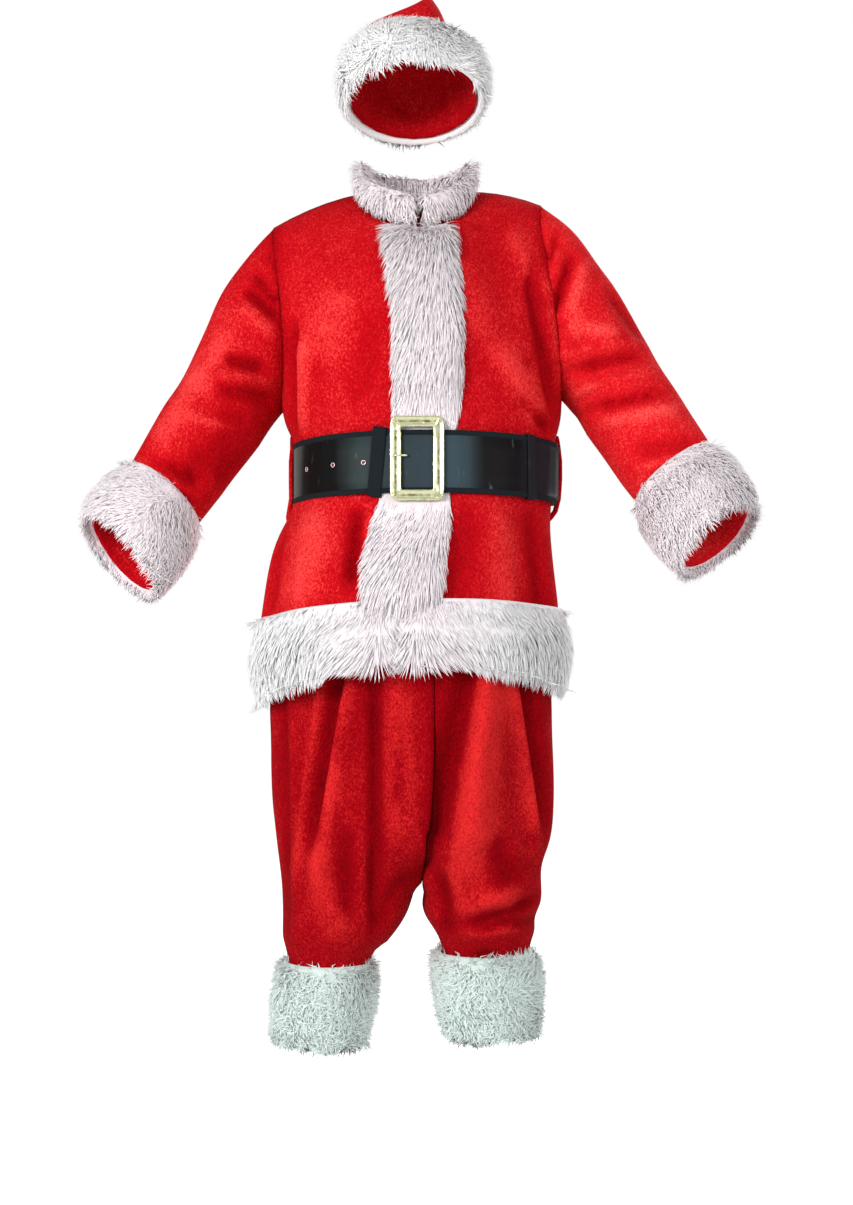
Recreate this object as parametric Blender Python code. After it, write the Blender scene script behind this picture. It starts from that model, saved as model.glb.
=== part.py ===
"""Santa suit, worn open at neck, cuffs and hem on a general standing figure.

Jacket, trousers, belt and hat, each in the pieces that a maker cuts and sews.
Metres, +Z up. The front faces -Y, and "right" and "left" are the wearer's, so
the right side is at -X. The origin lies between the shoulders.
"""

import math

import bmesh
import bpy
import numpy as np

# ---------------------------------------------------------------- driving sizes
CLOTH = 0.0025  # plush with its knitted back
SEAM = 0.00025  # each panel stops this far short of the seam line
CLEAR = 0.0005  # a trim's back over the cloth it is sewn to
FUR_DROP = 0.011  # the pile hangs this far below the edge it trims

FRONT_COLUMNS = 11  # from the opening to a side seam
BACK_COLUMNS = 9  # from the centre back to a side seam
ARMPIT_ROW = 12  # rows of the torso below the armpit
ARMHOLE_ROWS = 9  # rows from the armpit to the shoulder seam
HEM_FUR_ROW = 3  # the hem's fur reaches up to this row
BELT_ROWS = (8, 10)  # lower and upper edge of the belt
BAND_COLUMNS = 2  # the front band covers this many columns on each side
BAND_HALF = 0.047  # half the width of the front band's backing
BAND_TOP = 0.010  # the band stops this far below the neckline
SHOULDER_COLUMNS = 5  # the other columns of a quarter end on the neckline

SLEEVE_RINGS = 16
CUFF_RING = 12  # the cuff's fur starts on this ring
LEG_COLUMNS = 12  # from a side seam to a centre seam or inseam
HEM_FRONT = -0.675  # the trousers fold from here down, clear of the jacket
HEM_BACK = -0.730
LEG_FUR_ROW = 18  # the fur round a leg's end starts on this row

BELT_THICK = 0.0026
BELT_RECESS = 0.0006  # the leather lies this much below its binding
BINDING = 0.007  # height of the fabric binding along each edge of the belt
BELT_INNER = 0.0036  # the belt's first layer starts this far off the jacket
BELT_OUTER = 0.0070  # and the layer that crosses over it, this far
BELT_START = 1.0  # the belt's hidden end, in columns of the torso from the opening
BELT_RISE = (31.0, 36.0)  # between these columns it lifts to cross over its own end
BELT_TIP = 50.5  # after one turn, its tip ends just before the left side seam
TIP_HEIGHTS = (1.0, 0.86, 0.42)  # towards its tip, of the belt's whole height
EYELETS = (-0.150, -0.112, -0.070)  # x of each eyelet
EYELET_RADIUS = 0.0032
BUCKLE_SIZE = (0.077, 0.121)
BUCKLE_HOLE = (0.044, 0.092)
BUCKLE_THICK = 0.0042
BUCKLE_BEVEL = 0.0012
BUCKLE_PLACE = (0.0035, -0.374)  # x and z of its middle
PRONG_RADIUS = 0.0017
KEEPER_THICK = 0.0013
LOOP_WIDTH = 0.011
LOOP_THICK = 0.002
WAISTBAND_THICK = 0.0040

COLLAR_HEIGHT = 0.050
COLLAR_THICK = 0.024
COLLAR_GAP = 0.006  # between its ends, at the front

HAT_BRIM_ROW = 3  # the brim's fur covers the hat up to this ring
POMPOM_CENTRE = (0.011, 0.2016, 0.1981)
POMPOM_RADIUS = 0.032

RED = (0.55, 0.006, 0.012, 1.0)
FUR = (0.80, 0.72, 0.74, 1.0)
BLACK = (0.010, 0.012, 0.013, 1.0)
GOLD = (0.78, 0.72, 0.50, 1.0)
SILVER = (0.75, 0.62, 0.62, 1.0)


def rows_of(names, rows):
    """A table with a named column for each size, and a row for each section."""
    return np.array(list(rows), dtype=[(name, float) for name in names.split()])


# Height of the front band's pile and how far it spreads past its backing, on
# the rows under the belt and on those next to it.
BAND_CRUSH = rows_of("below above spread", (
    (0.0018, 0.0018, 0.000),
    (0.0034, 0.0022, 0.000),
    (0.0150, 0.0120, 0.004),
    (0.0210, 0.0210, 0.007),
))

# The keepers: x of the middle, the back wall off the jacket at its lower and
# upper end, the front wall, how far they pass the belt, width and lean.
KEEPERS = rows_of("x back_low back_high front below above width lean", (
    (-0.050, 0.0052, 0.0053, 0.0116, 0.0046, 0.0050, 0.020, -0.06),
    (0.160, 0.0017, 0.0017, 0.0118, 0.0026, 0.0026, 0.016, -0.10),
))


# ---------------------------------------------------------------- sections
# Jacket from the hem to the armpit. Side seams lie at y = 0. `skew` lifts the
# left side over the right one.
TORSO = rows_of("z_side z_front right left front back skew", (
    (-0.712, -0.662, -0.232, 0.216, -0.178, 0.150, 0.009),
    (-0.674, -0.633, -0.236, 0.218, -0.177, 0.152, 0.009),
    (-0.636, -0.603, -0.236, 0.217, -0.175, 0.152, 0.009),
    (-0.598, -0.574, -0.233, 0.214, -0.173, 0.150, 0.008),
    (-0.565, -0.545, -0.226, 0.210, -0.171, 0.148, 0.006),
    (-0.532, -0.513, -0.220, 0.206, -0.169, 0.144, 0.004),
    (-0.499, -0.482, -0.213, 0.203, -0.166, 0.138, 0.002),
    (-0.464, -0.452, -0.199, 0.199, -0.159, 0.128, 0.000),
    (-0.434, -0.423, -0.176, 0.205, -0.149, 0.119, 0.000),
    (-0.390, -0.378, -0.175, 0.206, -0.148, 0.118, 0.000),
    (-0.346, -0.333, -0.176, 0.206, -0.149, 0.119, 0.000),
    (-0.318, -0.308, -0.192, 0.220, -0.156, 0.126, 0.004),
    (-0.288, -0.281, -0.198, 0.220, -0.155, 0.128, 0.009),
))

# The line on which the two fronts meet, from the hem to the neck.
OPENING = rows_of("z x", (
    (-0.67, -0.029),
    (-0.52, -0.016),
    (-0.42, 0.000),
    (-0.30, 0.019),
    (-0.20, 0.022),
    (-0.13, 0.020),
    (-0.03, 0.006),
))

NECK_FRONT = np.array((0.006, -0.078, -0.028))
NECK_BACK = np.array((0.000, 0.080, 0.022))
NECK_SIDE = rows_of("x y z", ((-0.080, 0.012, 0.036), (0.080, 0.012, 0.038)))
BACK_CENTRE_X = 0.004

# An armhole from its top to its bottom.
ARMHOLE_RIGHT = rows_of("z x", (
    (-0.300, -0.198),
    (-0.217, -0.194),
    (-0.148, -0.198),
    (-0.080, -0.205),
    (-0.018, -0.213),
))
ARMHOLE_LEFT = rows_of("z x", (
    (-0.280, 0.220),
    (-0.224, 0.209),
    (-0.145, 0.201),
    (-0.089, 0.195),
    (-0.036, 0.187),
    (0.015, 0.189),
))
ARMHOLE_FRONT = -0.080
ARMHOLE_BACK = 0.086
SHOULDER_RISE = 0.006  # how far the shoulder seam bows up

# A sleeve, from the armhole to the hand: its outer and inner edge as seen from
# the front, the depth of its middle, half its thickness, and how far the ring
# leans back towards the elbow as the forearm comes forward.
SLEEVE_NAMES = "ring outer_x outer_z inner_x inner_z y half lean"
SLEEVE_RIGHT = rows_of(SLEEVE_NAMES, (
    (0, -0.2132, -0.0197, -0.1982, -0.2970, 0.000, 0.083, 0),
    (2, -0.2537, -0.0617, -0.2045, -0.3050, 0.000, 0.086, 0),
    (4, -0.2913, -0.1187, -0.2115, -0.3145, 0.000, 0.086, 0),
    (6, -0.3191, -0.1840, -0.2195, -0.3285, -0.006, 0.084, 4),
    (8, -0.3533, -0.2529, -0.2326, -0.3513, -0.022, 0.080, 14),
    (10, -0.3877, -0.3129, -0.2708, -0.3988, -0.045, 0.075, 20),
    (12, -0.4201, -0.3795, -0.3187, -0.4691, -0.068, 0.070, 22),
    (16, -0.4666, -0.4517, -0.3781, -0.5590, -0.110, 0.068, 24),
))
SLEEVE_LEFT = rows_of(SLEEVE_NAMES, (
    (0, 0.1888, 0.0148, 0.2203, -0.2790, 0.000, 0.083, 0),
    (2, 0.2368, -0.0197, 0.2282, -0.2884, 0.000, 0.086, 0),
    (4, 0.2818, -0.0857, 0.2355, -0.2975, 0.000, 0.086, 0),
    (6, 0.3277, -0.1525, 0.2435, -0.3080, -0.006, 0.084, 4),
    (8, 0.3679, -0.2276, 0.2561, -0.3334, -0.022, 0.080, 14),
    (10, 0.4054, -0.2922, 0.2929, -0.3869, -0.045, 0.075, 20),
    (12, 0.4379, -0.3516, 0.3262, -0.4368, -0.068, 0.070, 22),
    (16, 0.4817, -0.4415, 0.3875, -0.5227, -0.110, 0.068, 24),
))

# Trousers from the waist to the end of the legs. `turn` is how far a panel
# runs round its leg: 90 degrees to a centre seam, 180 to the inseam. `lift`
# raises the left leg over the right one.
LEGS = rows_of("z_side z_centre right left right_in left_in front back turn lift", (
    (-0.391, -0.379, -0.170, 0.201, 0.014, 0.014, -0.143, 0.113, 90, 0.000),
    (-0.425, -0.415, -0.168, 0.198, 0.016, 0.016, -0.141, 0.111, 90, 0.000),
    (-0.480, -0.480, -0.190, 0.187, 0.020, 0.020, -0.143, 0.120, 90, 0.000),
    (-0.570, -0.570, -0.212, 0.197, 0.025, 0.025, -0.150, 0.133, 90, 0.000),
    (-0.670, -0.670, -0.218, 0.203, 0.028, 0.028, -0.149, 0.137, 90, 0.000),
    (-0.720, -0.722, -0.218, 0.205, 0.029, 0.029, -0.147, 0.138, 90, 0.000),
    (-0.765, -0.772, -0.218, 0.205, 0.029, 0.029, -0.145, 0.137, 90, 0.000),
    (-0.808, -0.820, -0.217, 0.205, 0.028, 0.028, -0.142, 0.136, 90, 0.000),
    (-0.848, -0.862, -0.215, 0.206, 0.026, 0.026, -0.139, 0.134, 90, 0.000),
    (-0.885, -0.900, -0.213, 0.206, 0.023, 0.023, -0.135, 0.132, 98, 0.000),
    (-0.916, -0.932, -0.211, 0.205, 0.019, 0.019, -0.131, 0.130, 118, 0.000),
    (-0.943, -0.953, -0.208, 0.200, 0.016, 0.016, -0.127, 0.128, 146, 0.000),
    (-0.969, -0.963, -0.204, 0.188, 0.013, 0.013, -0.123, 0.126, 180, 0.000),
    (-0.996, -0.993, -0.200, 0.188, 0.004, 0.019, -0.118, 0.122, 180, 0.004),
    (-1.024, -1.024, -0.199, 0.190, -0.004, 0.012, -0.114, 0.118, 180, 0.008),
    (-1.044, -1.045, -0.198, 0.189, -0.010, 0.008, -0.110, 0.114, 180, 0.011),
    (-1.066, -1.068, -0.198, 0.176, -0.024, 0.016, -0.104, 0.107, 180, 0.013),
    (-1.086, -1.088, -0.199, 0.183, -0.041, 0.034, -0.092, 0.094, 180, 0.014),
    (-1.110, -1.110, -0.187, 0.167, -0.073, 0.042, -0.064, 0.066, 180, 0.014),
    (-1.151, -1.151, -0.190, 0.168, -0.077, 0.047, -0.062, 0.063, 180, 0.014),
    (-1.191, -1.191, -0.195, 0.169, -0.083, 0.052, -0.062, 0.062, 180, 0.013),
    (-1.230, -1.230, -0.199, 0.170, -0.088, 0.056, -0.062, 0.062, 180, 0.012),
))

# The hat, from its rim to its tip: the middle of each ring, its half width,
# its half depth, and how far its plane is tipped back.
HAT = rows_of("x y z wide deep tip", (
    (-0.003, 0.0100, 0.1760, 0.098, 0.110, 20),
    (-0.003, 0.0186, 0.1995, 0.096, 0.108, 20),
    (-0.003, 0.0271, 0.2230, 0.092, 0.104, 20),
    (-0.003, 0.0357, 0.2465, 0.084, 0.096, 20),
    (-0.001, 0.0450, 0.2700, 0.070, 0.084, 26),
    (0.004, 0.0610, 0.2920, 0.051, 0.066, 45),
    (0.008, 0.0940, 0.3010, 0.038, 0.042, 80),
    (0.010, 0.1250, 0.2890, 0.032, 0.027, 112),
    (0.011, 0.1550, 0.2680, 0.026, 0.022, 135),
    (0.011, 0.1760, 0.2450, 0.020, 0.020, 150),
    (0.011, 0.1880, 0.2280, 0.011, 0.011, 155),
))
HAT_COLUMNS = 20

# ---------------------------------------------------------------- folds
# Soft ridges (height > 0) and troughs, from one end to the other as seen from
# the front. `width` is half the breadth of the fold.
FOLD_NAMES = "x0 z0 x1 z1 width height"
TORSO_FOLDS = rows_of(FOLD_NAMES, (
    (-0.166, -0.235, -0.170, -0.318, 0.018, -0.006),
    (-0.130, -0.230, -0.140, -0.310, 0.020, 0.004),
    (-0.088, -0.448, -0.093, -0.530, 0.018, -0.006),
    (-0.130, -0.452, -0.150, -0.600, 0.022, 0.006),
    (-0.185, -0.460, -0.205, -0.610, 0.018, -0.005),
    (0.093, -0.452, 0.080, -0.590, 0.020, 0.004),
    (0.150, -0.452, 0.165, -0.610, 0.020, -0.006),
    (0.192, -0.460, 0.200, -0.600, 0.018, 0.005),
    (0.205, -0.250, 0.170, -0.312, 0.019, -0.006),
    (0.120, -0.160, 0.185, -0.260, 0.020, 0.005),
))
RIGHT_SLEEVE_FOLDS = rows_of(FOLD_NAMES, (
    (-0.240, -0.080, -0.203, -0.165, 0.019, -0.007),
    (-0.262, -0.120, -0.215, -0.210, 0.020, 0.007),
    (-0.345, -0.262, -0.300, -0.262, 0.018, -0.009),
    (-0.362, -0.290, -0.310, -0.305, 0.019, 0.007),
    (-0.380, -0.325, -0.300, -0.350, 0.018, -0.008),
    (-0.275, -0.345, -0.300, -0.420, 0.019, 0.005),
))
LEFT_SLEEVE_FOLDS = rows_of(FOLD_NAMES, (
    (0.235, -0.060, 0.207, -0.160, 0.019, -0.007),
    (0.268, -0.105, 0.225, -0.215, 0.020, 0.007),
    (0.356, -0.232, 0.300, -0.245, 0.018, -0.009),
    (0.372, -0.255, 0.320, -0.280, 0.019, 0.007),
    (0.386, -0.278, 0.300, -0.325, 0.018, -0.009),
    (0.290, -0.330, 0.325, -0.400, 0.019, 0.005),
))
LEG_FOLDS = rows_of(FOLD_NAMES, (
    (-0.165, -0.740, -0.172, -1.060, 0.022, 0.008),
    (-0.123, -0.690, -0.168, -0.940, 0.018, -0.015),
    (-0.088, -0.690, -0.140, -0.940, 0.020, 0.013),
    (-0.060, -0.710, -0.062, -1.040, 0.018, -0.016),
    (-0.020, -0.710, -0.025, -0.960, 0.026, 0.010),
    (0.066, -0.690, 0.026, -0.930, 0.018, -0.016),
    (0.100, -0.690, 0.070, -0.980, 0.026, 0.013),
    (0.134, -0.690, 0.172, -0.950, 0.017, -0.013),
    (0.165, -0.710, 0.196, -0.930, 0.020, 0.007),
    (0.110, -1.000, 0.110, -1.060, 0.024, 0.008),
    (0.060, -1.038, 0.180, -1.064, 0.016, -0.009),
    (-0.180, -1.052, -0.060, -1.078, 0.016, -0.008),
))


def fold_offset(points, folds):
    """How far each point lies above the unfolded cloth."""
    total = np.zeros(points.shape[:-1])
    for fold in folds:
        start = np.array((fold["x0"], fold["z0"]))
        along = np.array((fold["x1"], fold["z1"])) - start
        reach = points[..., [0, 2]] - start
        share = np.clip(reach @ along / (along @ along), 0.0, 1.0)
        distance = np.linalg.norm(reach - share[..., None] * along, axis=-1)
        total += fold["height"] * np.exp(-((distance / fold["width"]) ** 2))
    return total


# ---------------------------------------------------------------- surfaces
def through(table, name, at, key):
    """A column of a table, read at `at` of its `key` column by a smooth curve."""
    known = table[key]
    values = table[name]
    slope = np.gradient(values, known)
    index = np.clip(np.searchsorted(known, at, side="right") - 1, 0, len(known) - 2)
    step = known[index + 1] - known[index]
    t = (at - known[index]) / step
    start = values[index] * (1 + 2 * t) * (1 - t) ** 2 + slope[index] * step * t * (1 - t) ** 2
    end = values[index + 1] * t**2 * (3 - 2 * t) + slope[index + 1] * step * t**2 * (t - 1)
    return start + end


def lengths_along(line):
    steps = np.linalg.norm(np.diff(line, axis=0), axis=1)
    return np.concatenate(((0.0,), np.cumsum(steps)))


def points_at(line, lengths):
    """The points of a polyline at the given lengths along it."""
    along = lengths_along(line)
    return np.stack([np.interp(lengths, along, line[:, axis]) for axis in range(3)], axis=1)


def unit(vectors):
    return vectors / np.linalg.norm(vectors, axis=-1, keepdims=True)


def evenly(line, count):
    return points_at(line, np.linspace(0.0, lengths_along(line)[-1], count + 1))


def rounded(angle, power=2.4):
    """Cosine and sine of a superellipse, fuller at its corners than an ellipse."""
    cos, sin = np.cos(angle), np.sin(angle)
    return np.sign(cos) * np.abs(cos) ** (2 / power), np.sign(sin) * np.abs(sin) ** (2 / power)


def welded_normals(patches):
    """Normals of grids that share their edges, as those of one surface.

    Each patch is a grid of points and the side that its outer face is on. A
    face counts at each of its corners by the angle it fills there.
    """
    patches = list(patches)
    total = {}
    for grid, side in patches:
        corners = np.stack((grid[:-1, :-1], grid[:-1, 1:], grid[1:, 1:], grid[1:, :-1]))
        faces = side * np.cross(corners[2] - corners[0], corners[3] - corners[1])
        faces = unit(faces)
        back = unit(np.roll(corners, 1, axis=0) - corners)
        ahead = unit(np.roll(corners, -1, axis=0) - corners)
        angles = np.arccos(np.clip((back * ahead).sum(axis=-1), -1.0, 1.0))
        shares = faces * angles[..., None]
        for corner, share in zip(corners.reshape(-1, 3), shares.reshape(-1, 3)):
            key = tuple(np.round(corner, 6))
            total[key] = total.get(key, 0.0) + share
    normals = []
    for grid, _ in patches:
        found = np.array([[total[tuple(np.round(point, 6))] for point in row] for row in grid])
        normals.append(unit(found))
    return normals


def drawn_in(grid, edges):
    """The grid with the named edges moved off their seams, along the cloth."""
    moved = grid.copy()
    for edge in edges:
        if edge == "top":
            way = grid[-2] - grid[-1]
            moved[-1] += SEAM * unit(way)
        else:
            last, near = (-1, -2) if edge == "end" else (0, 1)
            way = grid[:, near] - grid[:, last]
            moved[:, last] += SEAM * unit(way)
    return moved


# ---------------------------------------------------------------- solids
def material(name, colour, roughness, metallic=0.0):
    made = bpy.data.materials.new(name)
    made.use_nodes = True
    shader = made.node_tree.nodes["Principled BSDF"]
    shader.inputs["Base Color"].default_value = colour
    shader.inputs["Roughness"].default_value = roughness
    shader.inputs["Metallic"].default_value = metallic
    return made


def add_object(name, mesh, finish, collection):
    """Puts a mesh in the collection as an object, its faces turned outwards."""
    shape = bmesh.new()
    shape.from_mesh(mesh)
    bmesh.ops.remove_doubles(shape, verts=shape.verts, dist=0.00001)
    bmesh.ops.recalc_face_normals(shape, faces=shape.faces)
    shape.to_mesh(mesh)
    shape.free()
    mesh.shade_smooth()
    mesh.set_sharp_from_angle(angle=math.radians(40))
    mesh.materials.append(finish)
    added = bpy.data.objects.new(name, mesh)
    collection.objects.link(added)
    return added


def triangles(points, quad):
    """Two triangles for a quad, split along its shorter diagonal."""
    first, second = points[quad[0]] - points[quad[2]], points[quad[1]] - points[quad[3]]
    turn = 0 if first @ first < second @ second else 1
    corners = quad[turn:] + quad[:turn]
    return [corners[:3], (corners[2], corners[3], corners[0])]


def panel_solid(name, outer, inner, finish, collection, around=False):
    """A wall of cloth between two grids of the same size, closed by its rims."""
    rows, columns = outer.shape[:2]
    points = np.concatenate((outer.reshape(-1, 3), inner.reshape(-1, 3)))
    layer = rows * columns
    spans = columns if around else columns - 1
    faces = []
    for row in range(rows - 1):
        for col in range(spans):
            after = (col + 1) % columns
            near, far = row * columns, (row + 1) * columns
            for triangle in triangles(points, (near + col, near + after, far + after, far + col)):
                faces.append(triangle)
                faces.append(tuple(layer + corner for corner in reversed(triangle)))
    for col in range(spans):
        after = (col + 1) % columns
        top = (rows - 1) * columns
        faces.append((after, col, layer + col, layer + after))
        faces.append((top + col, top + after, layer + top + after, layer + top + col))
    if not around:
        for row in range(rows - 1):
            start, above = row * columns, (row + 1) * columns
            faces.append((start, above, layer + above, layer + start))
            start, above = start + columns - 1, above + columns - 1
            faces.append((above, start, layer + start, layer + above))
    mesh = bpy.data.meshes.new(name)
    mesh.from_pydata(points.tolist(), [], faces)
    return add_object(name, mesh, finish, collection)


def ring_solid(name, rings, finish, collection, closed=False):
    """A loft through rings of points: capped at both ends, or closed on itself."""
    count, around = rings.shape[:2]
    points = rings.reshape(-1, 3)
    faces = []
    for ring in range(count if closed else count - 1):
        following = (ring + 1) % count
        for corner in range(around):
            after = (corner + 1) % around
            near, far = ring * around, following * around
            faces += triangles(points, (near + corner, near + after, far + after, far + corner))
    if not closed:
        last = (count - 1) * around
        faces.append(tuple(reversed(range(around))))
        faces.append(tuple(last + corner for corner in range(around)))
    mesh = bpy.data.meshes.new(name)
    mesh.from_pydata(points.tolist(), [], faces)
    return add_object(name, mesh, finish, collection)


# ---------------------------------------------------------------- torso
def front_weight(points, row):
    """0 at a side seam, 1 at the front of the section."""
    return np.clip(points[:, 1] / row["front"], 0.0, 1.0) ** 2


def torso_section(row, front):
    """Half a section of the jacket, from the left side seam to the right one."""
    angle = np.linspace(0.0, math.pi, 181)
    cos, sin = rounded(angle)
    middle = (row["right"] + row["left"]) / 2
    half = (row["left"] - row["right"]) / 2
    depth = row["front"] if front else row["back"]
    line = np.stack((middle + half * cos, depth * sin, np.full_like(cos, row["z_side"])), axis=1)
    if front:
        line[:, 2] += (row["z_front"] - row["z_side"]) * front_weight(line, row)
    line[:, 2] += row["skew"] * cos
    return line


def column_lengths(total, front):
    """Where the columns of a quarter lie, measured from its centre line."""
    if not front:
        return np.linspace(0.0, total, BACK_COLUMNS + 1)
    band = np.linspace(0.0, BAND_HALF, BAND_COLUMNS + 1)
    rest = np.linspace(BAND_HALF, total, FRONT_COLUMNS - BAND_COLUMNS + 1)
    return np.concatenate((band, rest[1:]))


def lower_row(row, side, front):
    """A row of a quarter, from the opening or the centre back to the side seam."""
    line = torso_section(row, front)
    centre_z = row["z_front"]
    centre_x = np.interp(centre_z, OPENING["z"], OPENING["x"]) if front else BACK_CENTRE_X
    along = lengths_along(line)
    centre = np.interp(-centre_x, -line[:, 0], along)
    edge = 0.0 if side > 0 else along[-1]
    lengths = column_lengths(abs(edge - centre), front)
    return points_at(line, centre + np.sign(edge - centre) * lengths)


def armhole_loop(side):
    """The armhole as points from its bottom, round the front, to the bottom."""
    table = ARMHOLE_LEFT if side > 0 else ARMHOLE_RIGHT
    low, high = table["z"][0], table["z"][-1]
    armpit = TORSO[ARMPIT_ROW]
    low = armpit["z_side"] + side * armpit["skew"]
    angle = np.linspace(0.0, 2 * math.pi, 2 * ARMHOLE_ROWS, endpoint=False)
    z = (low + high) / 2 - (high - low) / 2 * np.cos(angle)
    depth = np.where(angle < math.pi, -ARMHOLE_FRONT, ARMHOLE_BACK)
    x = through(table, "x", z, "z")
    x[0] = armpit["left"] if side > 0 else armpit["right"]
    return np.stack((x, -depth * np.sin(angle), z), axis=1)


def top_line(side, front):
    """Neckline and shoulder seam of a quarter, from the centre outwards."""
    neck = NECK_SIDE[1 if side > 0 else 0]
    neck_side = np.array((neck["x"], neck["y"], neck["z"]))
    centre = NECK_FRONT if front else NECK_BACK
    angle = np.linspace(0.0, math.pi / 2, 41)[:, None]
    turn = np.concatenate((np.sin(angle), np.cos(angle), np.cos(angle)), axis=1)
    neckline = np.where(
        [True, False, False],
        centre + (neck_side - centre) * turn,
        neck_side + (centre - neck_side) * turn,
    )
    tip = armhole_loop(side)[ARMHOLE_ROWS]
    t = np.linspace(0.0, 1.0, SHOULDER_COLUMNS + 1)[1:, None]
    seam = neck_side + (tip - neck_side) * t
    seam[:, 2:] += SHOULDER_RISE * 4 * t * (1 - t)
    columns = (FRONT_COLUMNS if front else BACK_COLUMNS) - SHOULDER_COLUMNS
    return np.concatenate((evenly(neckline, columns), seam))


def centre_line(start, end, front):
    """The opening or the centre back, from the armpit's level to the neck."""
    t = np.linspace(0.0, 1.0, ARMHOLE_ROWS + 1)
    z = start[2] + (end[2] - start[2]) * t
    y = end[1] + (start[1] - end[1]) * (1 - t**2.6)
    x = start[0] + (end[0] - start[0]) * t
    if front:
        x = np.interp(z, OPENING["z"], OPENING["x"])
        x[-1] = end[0]
    return np.stack((x, y, z), axis=1)


def torso_quarter(side, front):
    """A quarter of the jacket: rows from the hem to the shoulder seam."""
    rows = [lower_row(row, side, front) for row in TORSO]
    bottom = rows[-1]
    top = top_line(side, front)
    centre = centre_line(bottom[0], top[0], front)
    loop = armhole_loop(side)
    order = range(ARMHOLE_ROWS + 1) if front else range(2 * ARMHOLE_ROWS, ARMHOLE_ROWS - 1, -1)
    edge = np.array([loop[place % len(loop)] for place in order])
    u = np.linspace(0.0, 1.0, len(bottom))[:, None]
    for row in range(1, ARMHOLE_ROWS + 1):
        v = row / ARMHOLE_ROWS
        between = (1 - v) * bottom + v * top
        across = (1 - u) * centre[row] + u * edge[row]
        corners = (1 - u) * ((1 - v) * bottom[0] + v * top[0]) + u * ((1 - v) * bottom[-1] + v * top[-1])
        rows.append(between + across - corners)
    return np.array(rows)


# ---------------------------------------------------------------- sleeves
def sleeve_grid(side):
    """Rings of a sleeve from the armhole to the cuff's end."""
    table = SLEEVE_LEFT if side > 0 else SLEEVE_RIGHT
    loop = armhole_loop(side)
    angle = np.linspace(0.0, 2 * math.pi, len(loop), endpoint=False)[:, None]
    cos, sin = np.cos(angle), np.sin(angle)
    rings = []
    for ring in range(SLEEVE_RINGS + 1):
        at = {name: through(table, name, float(ring), "ring") for name in table.dtype.names[1:]}
        outer = np.array((at["outer_x"], at["y"], at["outer_z"]))
        inner = np.array((at["inner_x"], at["y"], at["inner_z"]))
        across = (outer - inner) / 2
        hand = np.array((across[2], 0.0, -across[0])) * side / np.linalg.norm(across)
        lean = math.radians(at["lean"])
        near = np.array((0.0, -math.cos(lean), 0.0)) - hand * math.sin(lean)
        ellipse = (outer + inner) / 2 - across * cos + near * at["half"] * sin
        if ring == 0:
            difference = loop - ellipse
        rings.append(ellipse + difference * max(0.0, 1 - ring / 4) ** 2)
    return np.array(rings)


# ---------------------------------------------------------------- trousers
def leg_panel(side, front):
    """A trouser panel: rows from the waist down, side seam to centre or inseam."""
    rows = []
    for row in LEGS:
        turn = math.radians(row["turn"])
        cos, sin = rounded(np.linspace(0.0, turn, 91), 2.2)
        outer = row["left"] if side > 0 else row["right"]
        inner = row["left_in"] if side > 0 else row["right_in"]
        half = (outer - inner) / (1 - cos[-1])
        share = np.sin(np.linspace(0.0, math.pi / 2, len(cos))) ** 2
        z_centre = row["z_centre"] if front or row["turn"] > 90 else row["z_side"]
        z = row["z_side"] + (z_centre - row["z_side"]) * share
        z += row["lift"] if side > 0 else 0.0
        depth = row["front"] if front else row["back"]
        line = np.stack((outer - half * (1 - cos), depth * sin, z), axis=1)
        rows.append(evenly(line, LEG_COLUMNS))
    return np.array(rows)


# ---------------------------------------------------------------- fur trims
def tufts(shape, amount=0.10):
    """Uneven lengths of pile: the fur parts into locks of unlike height."""
    row, col = np.meshgrid(np.arange(shape[0]), np.arange(shape[1]), indexing="ij")
    waves = np.sin(2.3 * row + 1.1 * col) + np.sin(1.7 * col - 0.9 * row + 0.7)
    return 1.0 + 0.5 * amount * waves


def edge_fur(base, normals, heights, drop):
    """Rings of a fur trim over the rows of `base`, whose first row is the edge.

    The backing lies on the cloth. The pile rises over it row by row to the
    given heights, and hangs past the edge by `drop`.
    """
    way = unit(base[0] - base[1])
    backing = base + normals * CLEAR
    pile = base + normals * np.array(heights)[:, None, None]
    rim = np.stack((
        base[0] + way * drop + normals[0] * 0.3 * heights[0],
        base[0] + way * 0.6 * drop + normals[0] * 0.8 * heights[0],
    ))
    outer = np.concatenate((rim, pile[1:]))
    level = backing[[0, 0] + list(range(1, len(base)))]
    outer = level + (outer - level) * tufts(outer.shape[:2])[:, :, None]
    return np.concatenate((backing[::-1], outer))


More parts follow.
